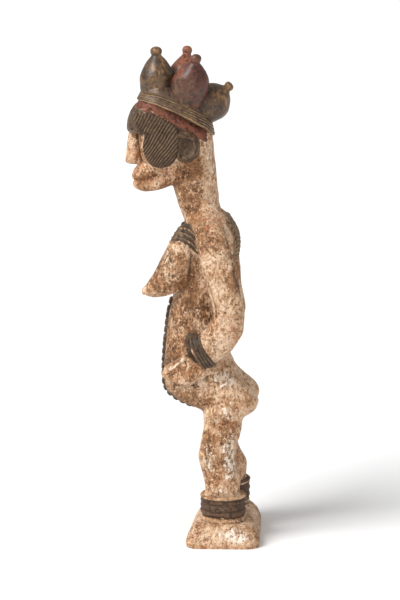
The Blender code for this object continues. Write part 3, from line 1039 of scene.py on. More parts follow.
def wire_shader(
    sheet: Sheet, shader: bpy.types.Node, color: object, rough: object, height: object,
    strength: float, distance: float,
) -> None:
    """Feed a Principled shader its colour, roughness and uneven surface.

    Args:
        sheet: the material's sheet.
        shader: the Principled shader.
        color: source of its colour.
        rough: source of its roughness.
        height: source of its unevenness.
        strength: strength of the unevenness.
        distance: its depth in metres.
    """
    bump = sheet.add("ShaderNodeBump")
    bump.inputs["Strength"].default_value = strength
    bump.inputs["Distance"].default_value = distance
    sheet.feed(bump.inputs["Height"], height)
    sheet.feed(shader.inputs["Base Color"], color)
    sheet.feed(shader.inputs["Roughness"], rough)
    sheet.feed(shader.inputs["Normal"], bump.outputs["Normal"])
    shader.inputs["Specular IOR Level"].default_value = 0.25


@dataclass(frozen=True)
class ChalkedWood:
    """Cream chalk coat, flaked and worn, with dark painted scars where patina is painted, and dirt
    with painted shade in its hollows.

    Attributes:
        name: name of the material.
        speck_share: how much of the wood shows through in specks.
        bump: depth of the flakes in metres.
        paint_roughness: roughness of the painted scars.
    """

    name: str = "chalked_wood"
    speck_share: float = 0.5
    bump: float = 0.00035
    paint_roughness: float = 0.58

    def make(self, groups: Groups) -> bpy.types.Material:
        """Build the material.

        Args:
            groups: the shared effects.

        Returns:
            The material.
        """
        material, sheet, shader = new_material(self.name)
        place = sheet.add("ShaderNodeTexCoord").outputs["Object"]
        coat = place_group(
            sheet, groups.coat, Place=place, Soil=sheet.attribute(Mask.SOIL),
            Crust=sheet.attribute(Mask.CHALK), Rust=sheet.attribute(Mask.RUST),
            Speck_Share=self.speck_share,
        )
        dark = place_group(
            sheet, groups.oiled, Place=place, Red=sheet.attribute(Mask.RED),
            Dark=srgb(78, 62, 48), Deep=srgb(50, 38, 29), Warm=srgb(100, 81, 63),
            Red_Tint=srgb(132, 80, 62), Tan_Share=0.42,
        )
        ragged = sheet.noise(place, 240.0, 4.0, 0.65, 0.4)
        frayed = sheet.span(ragged, 0.3, 0.7, -0.28, 0.28)
        painted = sheet.plus(sheet.attribute(Mask.PATINA), frayed)
        painted = sheet.span(painted, 0.38, 0.62)
        color = sheet.mix(painted, coat.outputs["Color"], dark.outputs["Color"])
        # Hollows darkened for dirt and painted shade; raised edges worn to tan.
        worn = place_group(
            sheet, groups.relief, Place=place, Under=color, Crevice=sheet.attribute(Mask.CREVICE),
            Ridge=sheet.attribute(Mask.RIDGE), Dirt=srgb(70, 49, 33), Rubbed=srgb(206, 168, 130),
            Dirt_Share=0.85, Rubbed_Share=0.28,
        )
        rough = sheet.add("ShaderNodeMix", data_type="FLOAT")
        sheet.feed(rough.inputs[0], painted)
        sheet.feed(rough.inputs[2], coat.outputs["Roughness"])
        rough.inputs[3].default_value = self.paint_roughness
        wire_shader(
            sheet, shader, worn.outputs["Color"], rough.outputs[0], coat.outputs["Height"], 0.8,
            self.bump,
        )
        return material


@dataclass(frozen=True)
class OiledWood:
    """Dark oily paint, worn to tan wood and painted with highlight on raised edges, and darkened in
    its hollows by dirt and painted shade.

    Attributes:
        name: name of the material.
        dark: its main colour.
        deep: colour of its darkest clouds.
        warm: colour of its lighter clouds.
        red: colour where the red mask is painted.
        bright: colour of the red where the rust mask is painted too.
        tan: colour of the wood that shows through.
        tan_share: how much wood shows through in patches.
        rubbed: colour of raised edges, worn and painted with highlight.
        rubbed_and_highlight_share: how strongly raised edges are worn and painted with highlight.
        dirt_and_shade_share: how strongly hollows are darkened by dirt and painted shade.
        gloss: weight of the oily film.
        bump: depth of its unevenness in metres.
    """

    name: str
    dark: Colour
    deep: Colour
    warm: Colour
    red: Colour = srgb(112, 52, 40)
    bright: Colour = srgb(146, 84, 60)
    tan: Colour = srgb(176, 132, 84)
    tan_share: float = 0.4
    rubbed: Colour = srgb(168, 132, 94)
    rubbed_and_highlight_share: float = 0.6
    dirt_and_shade_share: float = 0.8
    gloss: float = 0.25
    bump: float = 0.0003

    def make(self, groups: Groups) -> bpy.types.Material:
        """Build the material.

        Args:
            groups: the shared effects.

        Returns:
            The material.
        """
        material, sheet, shader = new_material(self.name)
        place = sheet.add("ShaderNodeTexCoord").outputs["Object"]
        red = sheet.mix(sheet.attribute(Mask.RUST), self.red, self.bright)
        oiled = place_group(
            sheet, groups.oiled, Place=place, Red=sheet.attribute(Mask.RED), Dark=self.dark,
            Deep=self.deep, Warm=self.warm, Red_Tint=red, Tan=self.tan,
            Tan_Share=sheet.plus(sheet.attribute(Mask.CHALK), self.tan_share),
        )
        # Hollows darkened for dirt and painted shade; raised edges lightened for worn paint and
        # painted highlight.
        worn = place_group(
            sheet, groups.relief, Place=place, Under=oiled.outputs["Color"],
            Crevice=sheet.attribute(Mask.CREVICE), Ridge=sheet.attribute(Mask.RIDGE),
            Dirt=srgb(44, 32, 25), Rubbed=self.rubbed, Dirt_Share=self.dirt_and_shade_share,
            Rubbed_Share=self.rubbed_and_highlight_share,
        )
        wire_shader(
            sheet, shader, worn.outputs["Color"], oiled.outputs["Gloss"],
            oiled.outputs["Height"], 0.7, self.bump,
        )
        shader.inputs["Coat Weight"].default_value = self.gloss
        shader.inputs["Coat Roughness"].default_value = 0.3
        return material


HAIR = OiledWood(
    "oiled_hair", dark=srgb(78, 59, 45), deep=srgb(46, 33, 27), warm=srgb(116, 88, 60),
    red=srgb(94, 46, 37), tan=srgb(150, 112, 72), tan_share=0.46, rubbed=srgb(150, 112, 76),
    rubbed_and_highlight_share=0.25, dirt_and_shade_share=0.95, gloss=0.4,
)
CORD = OiledWood(
    "bound_cord", dark=srgb(96, 74, 55), deep=srgb(60, 44, 32), warm=srgb(116, 92, 68),
    rubbed=srgb(166, 137, 102), rubbed_and_highlight_share=0.85, dirt_and_shade_share=0.95, gloss=0.08,
)
PATCH = OiledWood(
    "cheek_paint", dark=srgb(76, 57, 40), deep=srgb(50, 36, 25), warm=srgb(92, 70, 50),
    rubbed=srgb(144, 118, 87), rubbed_and_highlight_share=0.62, tan_share=0.1, gloss=0.05, dirt_and_shade_share=0.7,
)
ANKLE = OiledWood(
    "anklet_paint", dark=srgb(62, 48, 36), deep=srgb(40, 30, 22), warm=srgb(84, 66, 49),
    rubbed=srgb(144, 117, 88), rubbed_and_highlight_share=0.42, tan_share=0.18, gloss=0.06,
)
CHALK = ChalkedWood()


@dataclass
class Workshop:
    """What every piece needs: the shared effects and the finishes made so far."""

    groups: Groups = field(default_factory=Groups)
    made: dict[str, bpy.types.Material] = field(default_factory=dict)
    pieces: list[Piece] = field(default_factory=list)

    def dress(self, piece: Piece, finish: ChalkedWood | OiledWood) -> None:
        """Give a piece its finish and put it on the figure's body.

        Args:
            piece: the finished mesh.
            finish: the finish it gets.
        """
        if finish.name not in self.made:
            self.made[finish.name] = finish.make(self.groups)
        piece.data.materials.clear()
        piece.data.materials.append(self.made[finish.name])
        pick(piece)
        bpy.ops.object.shade_smooth()
        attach(piece, BODY)
        self.pieces.append(piece)
        LOG.info("%s: %d faces, %s", piece.name, len(piece.data.polygons), finish.name)

    def dress_pair(self, piece: Piece, finish: ChalkedWood | OiledWood) -> None:
        """Finish a left piece and a mirrored copy of it.

        Args:
            piece: the piece, with a name that ends in left.
            finish: its finish.
        """
        for side_piece in (piece, mirrored_copy(piece, piece.name.replace("left", "right"))):
            self.dress(side_piece, finish)


# --- the carved skin ---


@dataclass
class Maker:
    """What makes a piece in the workshop.

    Attributes:
        shop: the workshop.
    """

    shop: Workshop


@dataclass(frozen=True)
class Groove:
    """A narrow cut in the skin along a path.

    Attributes:
        path: points in millimetres, on the left side.
        width: half width of the cut in millimetres.
        depth: its depth in millimetres.
        mirrored: cuts the right side too.
    """

    path: Sequence[Point]
    width: float
    depth: float
    mirrored: bool = True

    def on(self, points: Array) -> Array:
        """Measure the cut at points.

        Args:
            points: positions in millimetres.

        Returns:
            The cut's depth at each.
        """
        folded = points.copy()
        if self.mirrored:
            folded[:, 0] = np.abs(folded[:, 0])
        nearest = np.full(len(points), UNSEEN)
        path = np.array(smooth_path(self.path, 4))
        for start, end in zip(path, path[1:]):
            way = end - start
            share = np.clip(((folded - start) @ way) / (way @ way), 0.0, 1.0)
            apart = folded - start - share[:, None] * way
            nearest = np.minimum(nearest, np.linalg.norm(apart, axis=1))
        return self.depth * np.exp(-((nearest / self.width) ** 2) * 1.5)


@dataclass
class CarvedSkin:
    """A length of the block, cut from a merged copy of the solid and given a hand-carved surface.

    Attributes:
        name: name of the piece.
        cuts: planes that cut it, each a point in millimetres and the normal of the side taken off.
        voxel: size of the skin's cells in metres.
        passes: how often it is smoothed.
        swell: how far it is let out again after smoothing, in millimetres.
        uneven: height of the slow unevenness in millimetres.
        softness: how much each point is smoothed, 0 to 1.
        grooves: cuts made after smoothing.
        mended: where the skin is smoothed once more before the cuts, 0 to 1.
        mending: how often it is smoothed there.
    """

    name: str
    cuts: Sequence[tuple[Point, Point]]
    voxel: float
    passes: int
    swell: float
    uneven: float
    softness: Where
    grooves: Sequence[Groove] = ()
    mended: Where | None = None
    mending: int = 80

    def build(self, block: Piece) -> Piece:
        """Cut, reskin, smooth and groove a copy of the block.

        Args:
            block: the CAD node, which is left as it is.

        Returns:
            The skin.
        """
        piece = linked(self.name, block.data.copy())
        piece.data.name = self.name
        pick(piece)
        bpy.ops.mesh.customdata_custom_splitnormals_clear()
        edit(piece)
        bpy.ops.mesh.remove_doubles(threshold=0.000001)
        for place, normal in self.cuts:
            bpy.ops.mesh.select_all(action="SELECT")
            bpy.ops.mesh.bisect(
                plane_co=Vector(place) * MM, plane_no=normal, use_fill=True, clear_outer=True
            )
        bpy.ops.object.mode_set(mode="OBJECT")
        piece = fused([piece], self.name, self.voxel)
        weights = self.softness(points_of(piece))
        soft = group_weights(piece, "softness", weights)
        apply_modifier(piece, "SMOOTH", factor=0.9, iterations=self.passes, vertex_group=soft)
        if self.mended is not None:
            again = group_weights(piece, "mended", self.mended(points_of(piece)))
            apply_modifier(piece, "SMOOTH", factor=0.9, iterations=self.mending, vertex_group=again)
        piece.vertex_groups.clear()
        self.carve(piece)
        return piece

    def carve(self, piece: Piece) -> None:
        """Let the skin out after smoothing, make it uneven and cut its grooves.

        Args:
            piece: the smoothed skin.
        """
        points = points_of(piece)
        out = np.full(len(points), self.swell)
        out += self.uneven * (0.7 * wander(points, 31.0, 0.7) + 0.3 * wander(points, 11.0, 2.2))
        for groove in self.grooves:
            out -= groove.on(points)
        move_points(piece, points + normals_of(piece) * out[:, None])


def body_softness(points: Array) -> Array:
    """Smooth the trunk and limbs fully, and leave hands, nipples and the neck's seam crisper.

    Args:
        points: positions in millimetres.

    Returns:
        How much each point is smoothed.
    """
    x, y, z = points.T
    away = np.abs(x)
    soft = np.full(len(points), 0.75)
    trunk = ease(40, 30, away) * ease(150, 175, z) * ease(-78, -60, y)
    soft = np.maximum(soft, trunk)
    hand = (ease(24, 28, away) * ease(66, 62, away) * ease(198, 204, z)
            * ease(243, 236, z) * ease(-14, -22, y))
    soft = soft * (1 - 0.88 * hand)
    tip = ease(-78, -94, y) * ease(300, 305, z)
    soft = soft * (1 - 0.9 * tip)
    breast = ease(-50, -60, y) * ease(300, 306, z)
    soft = soft * (1 - 0.45 * breast * (1 - tip))
    return soft * (1 - 0.6 * ease(420, 428, z))


def head_softness(points: Array) -> Array:
    """Smooth the skull, neck and hidden parts, and keep the nose, lips and hair block crisp.

    Args:
        points: positions in millimetres.

    Returns:
        How much each point is smoothed.
    """
    _, y, z = points.T
    soft = np.full(len(points), 0.9)
    face = ease(-88, -98, y) * ease(438, 441, z)
    jaw = ease(-62, -74, y) * ease(470, 464, z) * ease(436, 440, z)
    block = ease(-98, -104, y) * ease(512, 515, z)
    soft = soft * (1 - 0.80 * np.maximum(face, jaw))
    return np.where(block > 0.5, 0.1, soft)


def mouth_corner(points: Array) -> Array:
    """Where the lips run back into the flat jaw and the block's crease is filled.

    Args:
        points: positions in millimetres.

    Returns:
        How much each point is mended.
    """
    x, y, z = points.T
    share = ease(7, 14, np.abs(x)) * ease(-112, -104, y) * ease(-62, -70, y)
    return share * ease(447, 452, z) * ease(477, 470, z)


# Dabs of dirt and of painted shade on the chalk coat; those under each hand, between each cuff and
# hand and along the backs of the upper arms are painted shadow.
COAT_SOIL_AND_SHADE = both_sides(
    (34, -40, 346, 14, 22, 24, 0.75), (34, -38, 305, 18, 22, 26, 0.6),
    (30, -50, 262, 20, 18, 30, 0.55), (52, 2, 296, 18, 14, 20, 0.4),
    (56, 17, 352, 16, 9, 44, 0.55), (28, -80, 334, 18, 24, 20, 0.8),
    (52, -14, 388, 20, 26, 24, 0.5), (36, -60, 345, 20, 32, 28, 0.55),
    (50, -10, 118, 18, 22, 24, 0.5), (30, -62, 356, 14, 18, 18, 0.5),
    (50, -48, 192, 20, 28, 12, 0.3), (42, -18, 112, 14, 10, 34, 0.5),
    (26, -36, 180, 30, 36, 14, 0.65), (48, 38, 174, 20, 9, 16, 0.35),
    (50, -30, 238, 8, 18, 8, 0.6), (48, -50, 198, 14, 28, 5, 0.7), (46, -60, 236, 12, 16, 7, 0.4),
    (24, -40, 440, 16, 15, 22, 1.3), (24, -44, 470, 16, 19, 28, 1.3),
    (24, -46, 424, 16, 16, 12, 0.6), (14, -104, 500, 14, 6, 14, 0.5),
    (22, -88, 453, 18, 34, 12, 0.62), (24, -78, 467, 14, 22, 6, 0.4),
    (42, -38, 404, 22, 20, 14, 0.45), (70, -34, 14, 30, 14, 12, 0.4),
    (62, 6, 350, 20, 18, 56, 0.25), (50, -4, 150, 20, 22, 18, 0.3),
    (26, -50, 188, 36, 38, 15, 0.4), (24, -42, 452, 20, 15, 32, 0.6), (36, 0, 46, 34, 34, 10, 0.4),
    (52, -12, 84, 14, 14, 30, 0.35), (44, -6, 158, 18, 20, 12, 0.3),
    (24, -68, 250, 18, 11, 42, 0.6),
)
COAT_CRUST = both_sides(
    (48, -66, 360, 22, 6, 12), (46, -50, 291, 16, 8, 10, 0.9), (44, -33, 292, 14, 6, 24, 0.5),
    (58, 11, 312, 14, 12, 36, 0.5), (56, 10, 112, 16, 10, 32, 0.85),
    (56, -18, 112, 16, 8, 26, 0.85), (54, 7, 172, 16, 5, 12, 1.3), (50, 4, 212, 18, 18, 16, 0.7),
    (56, -8, 65, 14, 20, 14, 0.5), (22, -14, 480, 16, 8, 36, 0.55), (72, 16, 16, 26, 20, 11, 1.1),
    (14, -112, 476, 14, 10, 14, 0.4),
)
COAT_RUST = both_sides(
    (50, -58, 214, 20, 22, 10), (48, 4, 153, 18, 20, 7, 0.9), (40, -72, 325, 20, 24, 12, 0.6),
    (40, -20, 412, 30, 24, 14, 0.8), (48, 30, 175, 20, 12, 18, 0.5),
    (50, -20, 380, 18, 18, 26, 0.5), (24, -46, 462, 20, 16, 34, 0.9),
    (14, -116, 488, 14, 12, 18, 0.5), (22, -92, 460, 20, 26, 12, 0.6),
    (60, 16, 270, 20, 14, 26, 0.5), (40, -60, 270, 20, 14, 34, 0.35), (48, 0, 85, 20, 18, 14, 0.5),
)


def coat_masks(piece: Piece) -> None:
    """Paint where the chalk coat is darkened by dirt and painted shade, crusted or warm, alike on
    every piece of the body.

    Args:
        piece: the piece to paint.
    """
    points = points_of(piece)
    _, y, z = points.T
    soil = 0.24 + dabbed(points, COAT_SOIL_AND_SHADE) + 0.22 * wander(points, 46.0, 1.1)
    # Painted shade across the front below the breasts.
    soil += 0.32 * ease(-8, -30, y) * ease(330, 300, z) * ease(200, 215, z)
    # Darker towards the very bottom.
    soil += 0.3 * ease(6, 1.5, z)
    paint(piece, Mask.SOIL, soil)
    paint(piece, Mask.CHALK, 0.16 + dabbed(points, COAT_CRUST))
    rust = 0.22 + dabbed(points, COAT_RUST) + 0.2 * wander(points, 55.0, 3.0)
    paint(piece, Mask.RUST, rust + ease(7, 1.5, z))


def mirrored_copy(piece: Piece, name: str) -> Piece:
    """Copy a piece to the figure's other side, with a mesh of its own.

    Args:
        piece: the finished piece on one side.
        name: name of the copy.

    Returns:
        The copy, with its faces pointing outwards.
    """
    copy = linked(name, piece.data.copy())
    copy.data.name = name
    copy.data.transform(Matrix.Scale(-1, 4, (1, 0, 0)))
    copy.data.flip_normals()
    return copy


def loop(centre: Point, radius: float) -> list[Point]:
    """Ring of points across the figure's front, for a cut round a nipple.

    Args:
        centre: its middle in millimetres.
        radius: its radius in millimetres.

    Returns:
        The points, the first one again at the end.
    """
    turns = [2 * math.pi * step / 12 for step in range(13)]
    x, y, z = centre
    return [(x + radius * math.cos(t), y, z + radius * math.sin(t)) for t in turns]


LIPS = Groove([(4, -116, 452.4), (19, -100, 455), (28, -79, 463.5), (28, -69, 466)], 3.2, 1.0)
YOKE_EDGE = ((-68, 380), (-54, 383.5), (-45, 379), (-36, 371.5), (-27, 364))
TRUNK_GROOVES = [
    Groove(
        [(55.9, -33, 378), (61.8, -25.8, 356), (65.3, -19.5, 340), (66.3, -14.4, 324),
         (66.8, -9.2, 307), (66.6, -8, 294)], 4.0, 0.9,
    ),
    Groove([(40, -50, 396), (47, -42, 383), (46, -40, 360), (42, -42, 340)], 2.4, 0.8),
    Groove(
        [(52, 3.7, 392.6), (60, 9, 370), (66.2, 15.3, 347), (62.5, 20.1, 330), (59.6, 23.8, 314)],
        3.6, 0.8,
    ),
    Groove([(30, 30, 152), (44, 22, 150), (46, 8, 149)], 3.0, 1.2),
    Groove([(0, 24, 222), (0, 36, 195), (0, 34, 165)], 3.5, 2.6, mirrored=False),
    Groove(loop((23, -96.5, 316), 4.6), 1.1, 1.1, mirrored=False),
    Groove(loop((-23, -89.0, 311), 4.4), 1.1, 1.1, mirrored=False),
]
HEAD_GROOVES = [
    Groove(
        [(4, -116, 452.4), (12, -110, 453), (19, -100, 455), (24, -90, 459), (28, -79, 463.5),
         (28, -69, 466)], 1.2, 0.8,
    ),
    Groove([(7, -119, 514), (14, -112, 513.5), (24, -106, 513.5), (30, -100, 514)], 1.2, 1.2),
    Groove([(12, -110.4, 497.5), (12, -109.4, 490), (13, -105.4, 479.8)], 1.2, 1.1),
]


@dataclass
class Trunk(Maker):
    """The body from the anklets to the foot of the neck.

    Attributes:
        right_calf_back: how far the right calf is moved back, in millimetres.
        calf_flat: how far the left calf is flattened, in millimetres.
    """

    right_calf_back: float = 4.0
    calf_flat: float = 4.5

    def build(self, block: Piece) -> Piece:
        """Carve and paint the trunk.

        Args:
            block: the CAD node.

        Returns:
            The trunk's skin.
        """
        skin = CarvedSkin(
            "trunk", [((0, 0, 44), (0, 0, -1)), ((0, 0, 430), (0, 0, 1))], voxel=1.6 * MM,
            passes=38, swell=0.5, uneven=0.5, softness=body_softness, grooves=TRUNK_GROOVES,
        ).build(block)
        self.set_calves(skin)
        self.paint(skin)
        self.shop.dress(skin, CHALK)
        return skin

    def yoke(self, points: Array) -> Array:
        """The dark scarred yoke over the breasts.

        Args:
            points: positions in millimetres.

        Returns:
            How dark each point is.
        """
        x, y, z = points.T
        over = z - np.interp(y, *zip(*YOKE_EDGE))
        ring = 0.86 * ease(-1.0, 2.0, over) * ease(408, 401, z)
        ring = ring * ease(60, 52, np.abs(x))
        return ring * ease(0, 4, -y - np.interp(z, [364, 386, 402], [27, 29, 37]))

    def set_calves(self, piece: Piece) -> None:
        """Carve the left calf flatter behind, and the right one further back above its anklet.

        Args:
            piece: the trunk's skin.
        """
        points = points_of(piece)
        x, y, z = points.T
        low = ease(50, 66, z) * ease(104, 84, z) * ease(-6, -16, x)
        high = ease(78, 96, z) * ease(134, 116, z) * ease(4, 22, y)
        points[:, 1] += self.right_calf_back * low - self.calf_flat * high
        move_points(piece, points)

    def paint(self, piece: Piece) -> None:
        """Paint where the trunk is dark, darkened by dirt and painted shade, crusted or warm.

        Args:
            piece: the trunk's skin.
        """
        points = points_of(piece)
        # Painted shade along the creases round the upper arms.
        cuts = sum(groove.on(points) / groove.depth for groove in TRUNK_GROOVES[:3])
        paint_relief(piece, 30, 1.9, shade=0.8 * cuts)
        x, y, z = points.T
        front = ease(-30, -45, y)
        strip = ease(13.5, 9.0, np.abs(x)) * front * ease(306, 300, z)
        under = ease(15, 10, np.abs(x)) * ease(200, 190, z) * ease(-5, -20, y)
        panel = ease(33, 29, np.abs(x)) * ease(0, 5, y)
        panel *= ease(344, 352, z) * ease(416, 408, z)
        cuff = both_sides((45, -30, 243, 17, 13, 17), (42, -38, 256, 10, 9, 13))
        dark = [self.yoke(points), strip, under, panel, dabbed(points, cuff)]
        paint(piece, Mask.PATINA, np.maximum.reduce(dark))
        paint(piece, Mask.RED, 0.0)
        coat_masks(piece)


@dataclass
class Head(Maker):
    """The neck and head up to the bound cords."""

    def build(self, block: Piece) -> Piece:
        """Carve and paint the head.

        Args:
            block: the CAD node.

        Returns:
            The head's skin.
        """
        skin = CarvedSkin(
            "head", [((0, 0, 426), (0, 0, -1)), ((0, -81, 553.5), (0, 0.427, 1.0))],
            voxel=0.96 * MM, passes=40, swell=0.25, uneven=0.25, softness=head_softness,
            grooves=HEAD_GROOVES, mended=mouth_corner,
        ).build(block)
        self.paint(skin)
        self.shop.dress(skin, CHALK)
        return skin

    def paint(self, piece: Piece) -> None:
        """Paint the red band, the dark hair block and the stains of the neck.

        Args:
            piece: the head's skin.
        """
        points = points_of(piece)
        x, y, z = points.T
        mouth = ease(-62, -72, y) * ease(444, 448, z) * ease(476, 470, z)
        # Hollows and raised edges painted from the form, with shallower hollows and a little
        # painted shade at the mouth.
        paint_relief(piece, 24, 1.1 + 1.6 * mouth, shade=0.1 * mouth)
        block = ease(-96, -100, y) * ease(513, 514.5, z) * ease(547, 545, z)
        over = z - np.interp(y, [-110, -88, -68, -44, -27, -12], [541, 544, 533, 520, 508, 500])
        band = ease(-3.5, 1.0, over) * ease(-18, -24, y)
        apart = np.hypot((y + 44) / 14, (z - 500) / 18.5)
        ear = ease(24, 28, np.abs(x)) * ease(1.15, 1.0, apart)
        cheek = ease(18, 24, np.abs(x)) * ease(0, -2, over) * ease(-54, -58, y)
        cheek *= ease(-104, -100, y) * ease(515, 520, z)
        gap = dabbed(points, both_sides((32, -54, 519, 14, 8, 8, 1.2)))
        paint(piece, Mask.PATINA, np.maximum.reduce([block, band, ear, cheek, gap]))
        paint(piece, Mask.RED, band * (1 - block))
        coat_masks(piece)
        rust = 0.35 + 0.2 * wander(points, 30.0, 3.0) + 0.9 * LIPS.on(points)
        paint(piece, Mask.RUST, rust + 0.4 * ease(-34, -40, y) * ease(496, 488, z))


@dataclass
class Base(Maker):
    """The low base with its rounded slopes and worn rim.

    Attributes:
        flat_below: what lies lower than this, in millimetres, is set flat on the floor.
    """

    flat_below: float = 0.9

    def build(self, block: Piece) -> None:
        """Carve and paint the base.

        Args:
            block: the CAD node.
        """
        skin = CarvedSkin(
            "base", [((0, 0, 46), (0, 0, 1))], voxel=1.25 * MM, passes=14, swell=0.3, uneven=0.5,
            softness=lambda points: ease(0.6, 5.0, points[:, 2]) * 0.9,
        ).build(block)
        points = points_of(skin)
        points[points[:, 2] < self.flat_below, 2] = 0.0
        move_points(skin, points)
        paint_relief(skin, 26, 1.6)
        paint_masks(skin, patina=0.0, red=0.0)
        coat_masks(skin)
        self.shop.dress(skin, CHALK)


# --- the coiffure ---


CORD_FOOT: list[Flat] = [
    (-110, 554), (-98, 554.5), (-81, 551), (-60, 542.5), (-40, 532), (-22, 520.5), (-11, 507),
]
CORD_HEAD: list[Flat] = [
    (-110, 562), (-98, 563.5), (-81, 562), (-60, 554.5), (-40, 546), (-22, 535.5), (-11, 522),
]
LOBE_RED = rows_of_dabs(
    (24, -38, 580, 20, 25, 34, 0.95), (-24, -49, 585, 22, 22, 44, 0.95),
    (14, -60, 566, 16, 12, 16, 0.5), (31, -33, 611, 12, 12, 9, 0.9),
)
LOBE_BRIGHT = rows_of_dabs((-24, -49, 600, 22, 22, 30), (30, -56, 590, 12, 9, 12, 0.6))
LOBE_WORN = rows_of_dabs(
    (14, -80, 600, 14, 9, 20, 0.75), (6, -86, 617, 10, 7, 5, 0.6), (16, -6, 556, 20, 13, 16, 0.6),
    (6, 6, 572, 12, 9, 8, 0.7), (28, -48, 601, 8, 10, 6, 0.4), (16, -88, 566, 16, 9, 8, 0.3),
    (-20, -50, 612, 18, 14, 12, 0.35),
)


def band_ring(out: float, rise: float, sides: int, ripple: float = 0.0) -> list[Point]:
    """Loop round the head under the lobes.

    Args:
        out: how far outside the band's plan, in millimetres.
        rise: share of the way from the band's lower to its upper edge.
        sides: how many points the loop has.
        ripple: how far it wanders up and down, in millimetres.

    Returns:
        The loop's points.
    """
    front, back, half_width, power = -107.0, -13.0, 34.0, 2.0 / 2.3
    middle, half_depth = (front + back) / 2, (back - front) / 2
    ring = []
    for angle in whole_turn(sides):
        c, s = math.cos(angle), math.sin(angle)
        x = squarish(c, power) * (half_width + out)
        y = middle + squarish(s, power) * (half_depth + out)
        low = np.interp(y, *zip(*CORD_FOOT))
        high = np.interp(y, *zip(*CORD_HEAD))
        wave = ripple * (math.sin(3 * angle + 9 * rise) + 0.6 * math.sin(7 * angle + 4 * rise))
        ring.append((x, y, float(low + (high - low) * rise) + wave))
    return ring


@dataclass
class Cords(Maker):
    """The bound cords round the head: parallel ridges on a solid band."""

    count: int = 5
    fullness: float = 0.5
    lean: float = 4.5
    sides: int = 180

    def cord(self, row: int) -> Piece:
        """One cord, thinner where the band narrows over the forehead.

        Args:
            row: which cord, from the lowest.

        Returns:
            The cord's mesh.
        """
        rise = (row + 0.5) / self.count
        step = 0.5 / self.count
        ring = band_ring(0.5 - self.lean * rise, rise, self.sides, 0.2)
        low = band_ring(0.0, rise - step, self.sides)
        high = band_ring(0.0, rise + step, self.sides)
        piece = rounded_cord(f"cord_{row}", ring, 1.0, closed=True)
        points = points_of(piece)
        middle = np.array(ring)
        girth = np.array([self.fullness * (b[2] - a[2]) * 1.04 for a, b in zip(low, high)])
        around = len(points) // len(middle)
        centre = np.repeat(middle, around, axis=0)
        move_points(piece, centre + (points - centre) * np.repeat(girth, around)[:, None])
        return piece

    def build(self) -> None:
        """Model, fuse and paint the cords."""
        parts = [self.cord(row) for row in range(self.count)]
        for row in range(self.count + 1):
            rise = row / self.count
            ring = band_ring(-3.5 - self.lean * rise, 0.08 + 0.84 * rise, self.sides)
            parts.append(rounded_cord(f"cord_core_{row}", ring, 2.6, closed=True))
        piece = fused(parts, "bound_cords", 0.55 * MM, 1, 0.4)
        # Strong dark in the grooves between the cords, for dirt and painted shade, and light
        # crests, for worn paint and painted highlight.
        paint_relief(piece, 6, 0.26)
        self.shop.dress(piece, CORD)


